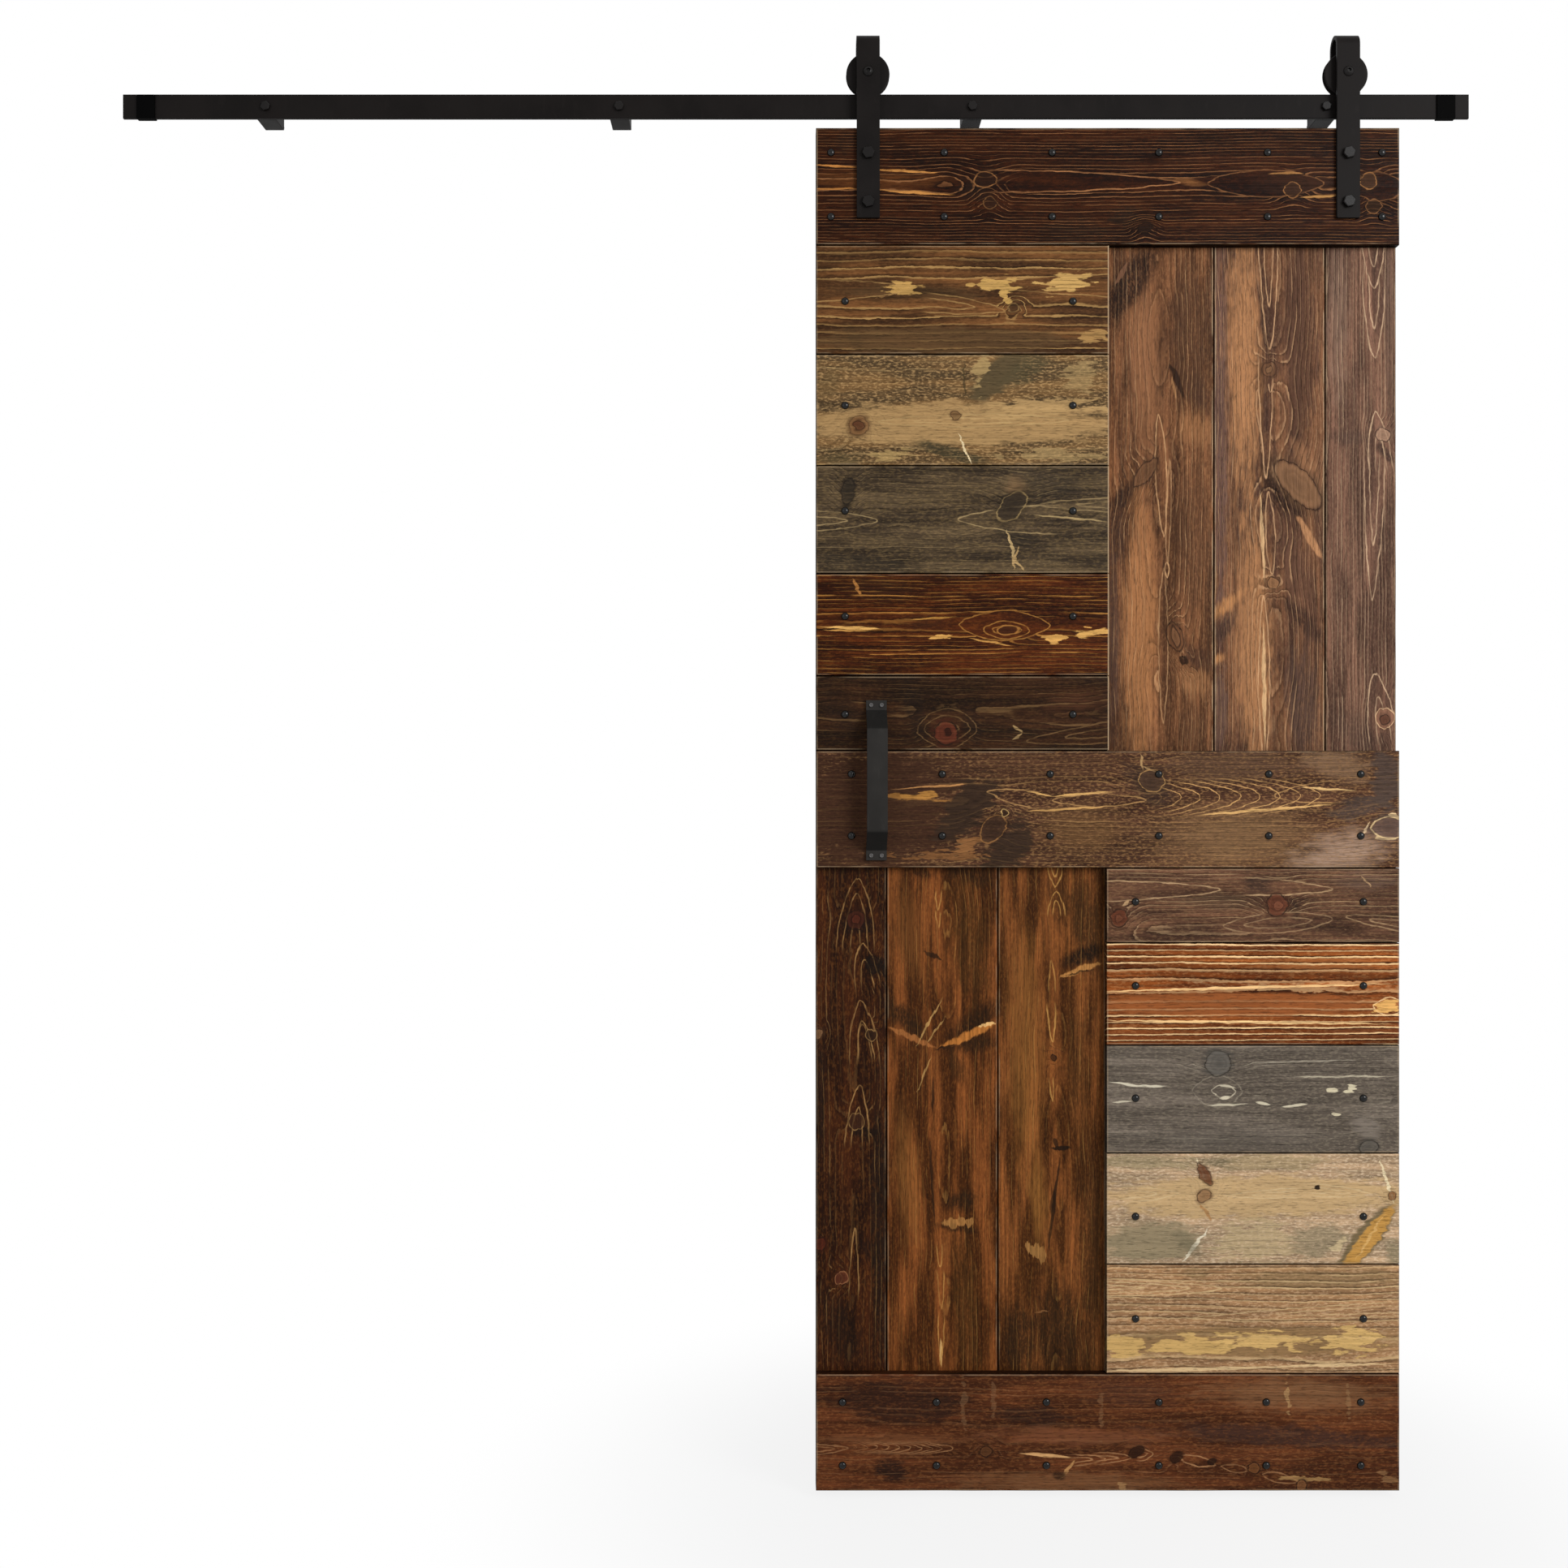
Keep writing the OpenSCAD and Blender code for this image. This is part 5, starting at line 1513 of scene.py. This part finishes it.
class Pattern(Tree):
    """A Geometry Nodes tree that sets one fastener on each point of a mesh."""

    def __init__(self, name):
        super().__init__(bpy.data.node_groups.new(name, "GeometryNodeTree"))
        self.sockets = {}
        self.tree.interface.new_socket("Geometry", in_out="INPUT", socket_type="NodeSocketGeometry")
        self.tree.interface.new_socket("Geometry", in_out="OUTPUT", socket_type="NodeSocketGeometry")
        self.start = self.add("NodeGroupInput")

    def size(self, name, kind="NodeSocketFloat"):
        """A named input of the tree."""
        self.sockets[name] = self.tree.interface.new_socket(name, in_out="INPUT", socket_type=kind).identifier
        return self.start.outputs[name]

    def moved(self, geometry, z=0.0, scale=(1.0, 1.0, 1.0)):
        """Geometry scaled and then moved up or down."""
        offset = self.add("ShaderNodeCombineXYZ", X=0.0, Y=0.0, Z=z).outputs[0]
        node = self.add("GeometryNodeTransform", Geometry=geometry, Translation=offset)
        self.put(node.inputs["Scale"], scale)
        return node.outputs[0]

    def joined(self, *geometries):
        """Several geometries as one."""
        node = self.add("GeometryNodeJoinGeometry")
        for geometry in geometries:
            self.tree.links.new(geometry, node.inputs[0])
        return node.outputs[0]

    def cylinder(self, sides, radius, depth, top, radius_top=None):
        """A closed round or many-sided bar that ends at a height."""
        if radius_top is None:
            radius_top = radius
        node = self.add(
            "GeometryNodeMeshCone", Vertices=sides, Radius_Bottom=radius, Radius_Top=radius_top, Depth=depth,
        )
        return self.moved(node.outputs["Mesh"], z=self.math("SUBTRACT", top, depth))

    def thread(self, radius, tip, length, pitch):
        """A helical ridge that runs up a shank from its tip."""
        turns = self.math("DIVIDE", length, pitch)
        spiral = self.add(
            "GeometryNodeCurveSpiral", Resolution=16, Rotations=turns, Start_Radius=radius, End_Radius=radius,
            Height=length,
        )
        height = self.math("MULTIPLY", pitch, THREAD_RIDGE)
        ridge = self.add("GeometryNodeCurvePrimitiveCircle", Resolution=3, Radius=height)
        swept = self.add("GeometryNodeCurveToMesh", Curve=spiral.outputs[0], Profile_Curve=ridge.outputs[0])
        self.put(swept.inputs["Fill Caps"], True)
        return self.moved(swept.outputs[0], z=tip)

    def set_out(self, fastener, turn, dents, material):
        """Sets the fastener on every point, facing the front, each a little different."""
        chance = self.add("FunctionNodeRandomValue", {"data_type": "FLOAT"}, Seed=3)
        for socket, value in (("Min", self.math("MULTIPLY", turn, -1.0)), ("Max", turn)):
            self.put([s for s in chance.inputs if s.name == socket and s.enabled][0], value)
        spun = [s for s in chance.outputs if s.enabled][0]
        placed = self.add(
            "GeometryNodeInstanceOnPoints", Points=self.start.outputs["Geometry"], Instance=fastener,
            Rotation=(math.radians(90), 0, 0),
        )
        axis = self.add("ShaderNodeCombineXYZ", X=0.0, Y=0.0, Z=spun).outputs[0]
        turned = self.add("GeometryNodeRotateInstances", Instances=placed.outputs[0], Rotation=axis)
        real = self.add("GeometryNodeRealizeInstances", Geometry=turned.outputs[0])
        hammer = self.add("ShaderNodeTexNoise", Scale=HAMMER_MARKS, Detail=1.0)
        blow = self.vector("SUBTRACT", hammer.outputs["Color"], (0.5, 0.5, 0.5))
        shift = self.vector("SCALE", blow)
        self.put(shift.node.inputs["Scale"], dents)
        dented = self.add("GeometryNodeSetPosition", Geometry=real.outputs[0], Offset=shift)
        smooth = self.add("GeometryNodeSetShadeSmooth", Geometry=dented.outputs[0])
        coated = self.add("GeometryNodeSetMaterial", Geometry=smooth.outputs[0], Material=material)
        self.add("NodeGroupOutput", Geometry=coated.outputs[0])


def dome_nail_tree():
    """A forged nail: low dome over a round shank."""
    tree = Pattern("dome nails")
    head, height = tree.size("Head Radius"), tree.size("Head Height")
    shank, length = tree.size("Shank Radius"), tree.size("Shank Length")
    dents, material = tree.size("Dents"), tree.size("Material", "NodeSocketMaterial")
    ball = tree.add("GeometryNodeMeshUVSphere", Segments=24, Rings=16, Radius=1.0)
    stretch = tree.add("ShaderNodeCombineXYZ", X=head, Y=head, Z=height).outputs[0]
    dome = tree.moved(ball.outputs["Mesh"], scale=stretch)
    place = tree.add("GeometryNodeInputPosition").outputs[0]
    above = tree.vector("MAXIMUM", place, (-1, -1, 0))
    flat = tree.add("GeometryNodeSetPosition", Geometry=dome, Position=above)
    bar = tree.cylinder(12, shank, length, 0.0)
    tree.set_out(tree.joined(flat.outputs[0], bar), 0.4, dents, material)
    return tree


def hex_bolt_tree(name):
    """A bolt with a chamfered hex head and a threaded end."""
    tree = Pattern(name)
    head, height = tree.size("Head Radius"), tree.size("Head Height")
    shank, length = tree.size("Shank Radius"), tree.size("Shank Length")
    thread, pitch = tree.size("Thread Length"), tree.size("Thread Pitch")
    turn, dents = tree.size("Turn"), tree.size("Dents")
    material = tree.size("Material", "NodeSocketMaterial")
    chamfer = tree.math("MULTIPLY", height, HEAD_CHAMFER)
    straight = tree.math("SUBTRACT", height, chamfer)
    body = tree.cylinder(HEX, head, straight, straight)
    cap = tree.cylinder(HEX, head, chamfer, height, tree.math("MULTIPLY", head, HEAD_TOP))
    bar = tree.cylinder(20, shank, length, 0.0)
    tip = tree.math("SUBTRACT", tree.math("MULTIPLY", pitch, THREAD_RIDGE), length)
    ridge = tree.thread(tree.math("MULTIPLY", shank, 0.98), tip, thread, pitch)
    tree.set_out(tree.joined(body, cap, bar, ridge), turn, dents, material)
    return tree


def ring_tree(name):
    """A washer or a hex nut: an outer wall with a bore through it."""
    tree = Pattern(name)
    outer, bore = tree.size("Outer Radius"), tree.size("Bore Radius")
    height, sides = tree.size("Height"), tree.size("Sides", "NodeSocketInt")
    turn, dents = tree.size("Turn"), tree.size("Dents")
    material = tree.size("Material", "NodeSocketMaterial")
    rim = tree.add(
        "GeometryNodeMeshCone", Vertices=sides, Radius_Bottom=outer, Radius_Top=outer, Depth=height,
    )
    hole = tree.add("GeometryNodeMeshCone", Vertices=32, Radius_Bottom=bore, Radius_Top=bore)
    tree.put(hole.inputs["Depth"], tree.math("MULTIPLY", height, 3.0))
    through = tree.moved(hole.outputs["Mesh"], z=tree.math("MULTIPLY", height, -1.0))
    cut = tree.add("GeometryNodeMeshBoolean", {"operation": "DIFFERENCE"})
    tree.put(cut.inputs["Mesh 1"], rim.outputs["Mesh"])
    tree.put(cut.inputs["Mesh 2"], through)
    tree.set_out(cut.outputs["Mesh"], turn, dents, material)
    return tree


def fastened(name, node, tree, places, slot, crease, **sizes):
    """Runs a fastener tree on a list of places and keeps the result as one plain mesh."""
    points = bpy.data.meshes.new(f"{name}_places")
    points.from_pydata([tuple(p) for p in places], [], [])
    holder = bpy.data.objects.new(f"{name}_places", points)
    bpy.context.scene.collection.objects.link(holder)
    modifier = holder.modifiers.new("fasteners", "NODES")
    modifier.node_group = tree.tree
    for key, value in sizes.items():
        modifier[tree.sockets[key.replace("_", " ")]] = value
    evaluated = holder.evaluated_get(bpy.context.evaluated_depsgraph_get())
    mesh = bpy.data.meshes.new_from_object(evaluated)
    mesh.name = name
    holder.modifiers.remove(modifier)
    bpy.data.objects.remove(holder)
    mesh.set_sharp_from_angle(angle=math.radians(crease))
    if not mesh.polygons:
        raise RuntimeError(f"{name} came out empty")
    return new_piece(name, mesh, sizes["Material"], frame["nodes"][node]["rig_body"], slot, node)


# Sizes that the frame doesn't give

# Tongues of the planks, and their play in the grooves
TONGUE = 7 * MM
TONGUE_THICK = 6 * MM
TONGUE_PLAY = 0.15 * MM

# Shank of a nail, and how far the hammer has dented it
NAIL_SHANK = 1.7 * MM
NAIL_DENTS = 0.06 * MM

# Bore of the washers and nuts, and how many sides each has
BOLT_BORE = 5.15 * MM
RING_SIDES = {"hanger_washers": ROUND, "hanger_nuts": HEX, "axle_nuts": HEX}

# Length and pitch of a bolt's thread, and the radius of its core
THREADS = {
    "lag_bolts": (34 * MM, 3.2 * MM, 3.6 * MM),
    "hanger_bolts": (24 * MM, 1.5 * MM, 4.7 * MM),
}

# Angles in degrees past which the edges of nails and of bolts stay sharp
NAIL_CREASE = 50
BOLT_CREASE = 30

# How far bolts and nuts are turned at random, in radians
BOLT_TURN = 0.3

# Edge radius of the axles and bushes, the end stops and the handle's screws
AXLE_EDGE = 0.3 * MM
STOP_EDGE = 0.4 * MM
SCREW_EDGE = 0.25 * MM

# Shares of the steel's edge radius that the track and the handle have
TRACK_EDGE_SHARE = 0.5
HANDLE_EDGE_SHARE = 0.8

# Lamps: place and width in metres
KEY_LAMP = (2.9, -3.1, 0.4), 1.9
FILL_LAMP = (-2.6, -3.4, -0.3), 2.4

# Film of the camera in millimetres
SENSOR_WIDTH = 36

# Half width of the floor, and how far from the leaf it fades into white, in metres
FLOOR_REACH = 14
FLOOR_FADE = (0.45, 1.1)

# Share of white in the floor beside the leaf, and the grey of the rest
FLOOR_WHITE = 0.85
FLOOR_GREY = (0.5, 0.5, 0.5)


# Operators

class BARN_OT_cross_rails(bpy.types.Operator):
    """Make the three cross rails and the ten horizontal boards of the front layer"""

    bl_idname = "barn.cross_rails"
    bl_label = "Rails and boards"

    def execute(self, context):
        leaf = context.scene.barn_leaf
        for node in RAILS + BOARDS:
            low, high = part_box(node)
            bottom, top = low.z + leaf.seam, high.z - leaf.seam
            corners = [
                (bottom, high.y, False), (bottom, low.y, True), (top, low.y, True), (top, high.y, False),
            ]
            eased_board(node, corners, "X", low, high, leaf, WOODS[node].seed)
        return {"FINISHED"}


class BARN_OT_back_planks(bpy.types.Operator):
    """Make the six tongued and grooved planks of the back layer"""

    bl_idname = "barn.back_planks"
    bl_label = "Back planks"

    def execute(self, context):
        leaf = context.scene.barn_leaf
        for i, node in enumerate(PLANKS):
            low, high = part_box(node)
            has_tongue, has_groove = i < len(PLANKS) - 1, i > 0
            left = low.x + leaf.seam
            edge = high.x - (TONGUE if has_tongue else 0)
            right = edge - leaf.seam
            middle = (low.y + high.y) / 2
            near, far = middle - TONGUE_THICK / 2, middle + TONGUE_THICK / 2
            corners = [(left, low.y, True), (right, low.y, True)]
            if has_tongue:
                corners += [(right, near, False), (high.x, near, False)]
                corners += [(high.x, far, False), (right, far, False)]
            corners += [(right, high.y, True), (left, high.y, True)]
            if has_groove:
                floor = low.x + TONGUE + 2 * TONGUE_PLAY
                groove_near, groove_far = near - TONGUE_PLAY, far + TONGUE_PLAY
                corners += [(left, groove_far, False), (floor, groove_far, False)]
                corners += [(floor, groove_near, False), (left, groove_near, False)]
            plank_low, plank_high = Vector((low.x, low.y, low.z)), Vector((edge, high.y, high.z))
            eased_board(node, corners, "Z", plank_low, plank_high, leaf, WOODS[node].seed)
        return {"FINISHED"}


class BARN_OT_nails(bpy.types.Operator):
    """Drive the dome-headed nails of the rails and the boards"""

    bl_idname = "barn.nails"
    bl_label = "Nails"

    def execute(self, context):
        tree = dome_nail_tree()
        for node in ("rail_nails", "board_nails"):
            boxes = solids_of(node)
            low, high = boxes[0]
            places = [((a.x + b.x) / 2, LEAF_FRONT, (a.z + b.z) / 2) for a, b in boxes]
            fastened(
                f"{node}_steel", node, tree, places, "black_steel", NAIL_CREASE,
                Head_Radius=(high.x - low.x) / 2, Head_Height=LEAF_FRONT - low.y, Shank_Radius=NAIL_SHANK,
                Shank_Length=high.y - LEAF_FRONT, Dents=NAIL_DENTS, Material=finish_of("nail black"),
            )
        return {"FINISHED"}


class BARN_OT_bolts(bpy.types.Operator):
    """Make the lag bolts, hanger bolts, washers and nuts"""

    bl_idname = "barn.bolts"
    bl_label = "Bolts and nuts"

    def execute(self, context):
        coat = finish_of("bolt black")
        bolts = hex_bolt_tree("hex bolts")
        rings = ring_tree("washers and nuts")
        seats = {"lag_bolts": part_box("track_bar")[0].y, "hanger_bolts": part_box("hanger_strap_left")[0].y}
        for node, seat in seats.items():
            boxes = solids_of(node)
            low, high = boxes[0]
            thread, pitch, shank = THREADS[node]
            places = [((a.x + b.x) / 2, seat, (a.z + b.z) / 2) for a, b in boxes]
            fastened(
                f"{node}_steel", node, bolts, places, "black_steel", BOLT_CREASE,
                Head_Radius=(high.z - low.z) / 2, Head_Height=seat - low.y, Shank_Radius=shank,
                Shank_Length=high.y - seat, Thread_Length=thread, Thread_Pitch=pitch, Turn=BOLT_TURN,
                Dents=0.0, Material=coat,
            )
        for node, sides in RING_SIDES.items():
            boxes = solids_of(node)
            low, high = boxes[0]
            places = [((a.x + b.x) / 2, b.y, (a.z + b.z) / 2) for a, b in boxes]
            fastened(
                f"{node}_steel", node, rings, places, "black_steel", BOLT_CREASE,
                Outer_Radius=(high.z - low.z) / 2, Bore_Radius=BOLT_BORE, Height=high.y - low.y,
                Sides=sides, Turn=BOLT_TURN, Dents=0.0, Material=coat,
            )
        return {"FINISHED"}


class BARN_OT_track(bpy.types.Operator):
    """Make the track bar, its spacers and the rubber end stops"""

    bl_idname = "barn.track"
    bl_label = "Track"

    def execute(self, context):
        edge = context.scene.barn_steel.edge_soft * TRACK_EDGE_SHARE
        for node in ("track_bar", *SPACERS):
            softened(f"{node}_steel", node, edge, finish_of("black coat"), "black_steel")
        for side in SIDES:
            node = f"end_stop_{side}"
            softened(f"{node}_rubber", node, STOP_EDGE, finish_of("rubber"), "black_rubber")
        return {"FINISHED"}


class BARN_OT_hangers(bpy.types.Operator):
    """Make the strap hangers, their axles and their wheels"""

    bl_idname = "barn.hangers"
    bl_label = "Hangers"

    def execute(self, context):
        steel = context.scene.barn_steel
        coat = finish_of("black coat")
        gloss = finish_of("bolt black")
        for side in SIDES:
            strap, axle, wheel = f"hanger_strap_{side}", f"axle_bolt_{side}", f"wheel_{side}"
            softened(f"{strap}_steel", strap, steel.edge_soft, coat, "black_steel")
            softened(f"{axle}_steel", axle, AXLE_EDGE, gloss, "black_steel", 2)
            softened(f"{wheel}_steel", wheel, steel.edge_soft, coat, "black_steel")
        softened("axle_bushes_steel", "axle_bushes", AXLE_EDGE, coat, "black_steel", 2)
        bright = finish_of("bearing steel")
        names = ["bearing_inner_rings"]
        names += [f"bearing_{part}_{side}" for part in ("outer_ring", "balls") for side in SIDES]
        for node in names:
            mesh = frame["nodes"][node].data
            mesh.materials.clear()
            mesh.materials.append(bright)
        return {"FINISHED"}


class BARN_OT_handle(bpy.types.Operator):
    """Make the pull handle and its screws"""

    bl_idname = "barn.handle"
    bl_label = "Handle"

    def execute(self, context):
        edge = context.scene.barn_steel.edge_soft * HANDLE_EDGE_SHARE
        screw = finish_of("screw steel")
        softened("pull_handle_steel", "pull_handle", edge, finish_of("handle coat"), "handle_steel")
        softened("handle_screws_steel", "handle_screws", SCREW_EDGE, screw, "black_steel", 2)
        return {"FINISHED"}


class BARN_OT_stage(bpy.types.Operator):
    """Set the floor, the lights, the white surroundings and the camera"""

    bl_idname = "barn.stage"
    bl_label = "Stage"

    def execute(self, context):
        scene = context.scene
        stage = scene.barn_stage
        scene.view_settings.view_transform = "Standard"
        make_floor(CAD_BOX[0].z - stage.floor_gap)
        make_world(stage.ambient)
        make_lamp("key light", *KEY_LAMP, stage.key_power)
        make_lamp("fill light", *FILL_LAMP, stage.fill_power)
        camera = bpy.data.cameras.new("front view")
        camera.lens = stage.lens
        camera.sensor_width = SENSOR_WIDTH
        holder = bpy.data.objects.new("front view", camera)
        holder.location = CAMERA_PLACE
        holder.rotation_euler = (math.radians(90), 0, 0)
        scene.collection.objects.link(holder)
        scene.camera = holder
        return {"FINISHED"}


def seen_directly(tree):
    """1 for rays that see the surroundings straight, in a mirror or through glass."""
    path = tree.add("ShaderNodeLightPath").outputs
    straight = tree.math("MAXIMUM", path["Is Camera Ray"], path["Is Glossy Ray"])
    return tree.math("MAXIMUM", straight, path["Is Transmission Ray"])


def make_floor(height):
    """A pale floor that keeps a soft shadow and fades into the white surroundings."""
    mesh = bpy.data.meshes.new("floor")
    corners = [(x * FLOOR_REACH, y * FLOOR_REACH, height) for x, y in ((-1, -1), (1, -1), (1, 1), (-1, 1))]
    mesh.from_pydata(corners, [], [(0, 1, 2, 3)])
    floor = bpy.data.objects.new("floor", mesh)
    bpy.context.scene.collection.objects.link(floor)
    material = bpy.data.materials.new("pale floor")
    material.use_nodes = True
    material.node_tree.nodes.clear()
    tree = Tree(material.node_tree)
    paint = tree.add("ShaderNodeBsdfDiffuse", Color=FLOOR_GREY)
    glow = tree.add("ShaderNodeEmission", Color=(1, 1, 1), Strength=1.0)
    place = tree.add("ShaderNodeTexCoord").outputs["Object"]
    low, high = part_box("bottom_rail")
    away = tree.vector("LENGTH", tree.vector("SUBTRACT", place, (low + high) / 2))
    fade = tree.span(away, *FLOOR_FADE, FLOOR_WHITE, 1.0)
    share = tree.math("MULTIPLY", seen_directly(tree), fade)
    mixed = tree.add("ShaderNodeMixShader", Fac=share)
    tree.put(mixed.inputs[1], paint.outputs[0])
    tree.put(mixed.inputs[2], glow.outputs[0])
    tree.add("ShaderNodeOutputMaterial", Surface=mixed.outputs[0])
    mesh.materials.append(material)


def make_world(ambient):
    """White where it is seen, and an even soft light on everything else."""
    world = bpy.data.worlds.new("white surroundings")
    bpy.context.scene.world = world
    world.use_nodes = True
    world.node_tree.nodes.clear()
    tree = Tree(world.node_tree)
    strength = tree.math("MULTIPLY_ADD", seen_directly(tree), 1 - ambient, ambient)
    glow = tree.add("ShaderNodeBackground", Color=(1, 1, 1), Strength=strength)
    tree.add("ShaderNodeOutputWorld", Surface=glow.outputs[0])


def make_lamp(name, place, size, power):
    """A soft square lamp that faces the middle of the leaf."""
    lamp = bpy.data.lights.new(name, "AREA")
    lamp.size = size
    lamp.energy = power
    holder = bpy.data.objects.new(name, lamp)
    holder.location = place
    low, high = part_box("middle_rail")
    aim = (low + high) / 2 - Vector(place)
    holder.rotation_euler = aim.to_track_quat("-Z", "Y").to_euler()
    bpy.context.scene.collection.objects.link(holder)


class BARN_PT_panel(bpy.types.Panel):
    """Lists the door's settings and its steps"""

    bl_idname = "BARN_PT_panel"
    bl_label = "Barn door"
    bl_space_type = "VIEW_3D"
    bl_region_type = "UI"
    bl_category = "Barn door"

    def draw(self, context):
        for settings in (context.scene.barn_leaf, context.scene.barn_steel, context.scene.barn_stage):
            box = self.layout.box()
            for key in settings.__annotations__:
                box.prop(settings, key)
        for step in STEPS:
            self.layout.operator(step.bl_idname)


STEPS = (
    BARN_OT_stage, BARN_OT_cross_rails, BARN_OT_back_planks, BARN_OT_nails, BARN_OT_bolts,
    BARN_OT_track, BARN_OT_hangers, BARN_OT_handle,
)
SETTINGS = {"barn_leaf": LeafSettings, "barn_steel": SteelSettings, "barn_stage": StageSettings}


def register():
    for kind in (*SETTINGS.values(), *STEPS, BARN_PT_panel):
        bpy.utils.register_class(kind)
    for name, kind in SETTINGS.items():
        setattr(bpy.types.Scene, name, PointerProperty(type=kind))


def unregister():
    for name in SETTINGS:
        delattr(bpy.types.Scene, name)
    for kind in reversed((*SETTINGS.values(), *STEPS, BARN_PT_panel)):
        bpy.utils.unregister_class(kind)


def main():
    """Makes every piece in order."""
    register()
    for step in STEPS:
        group, name = step.bl_idname.split(".")
        getattr(getattr(bpy.ops, group), name)()


if __name__ == "__main__":
    main()
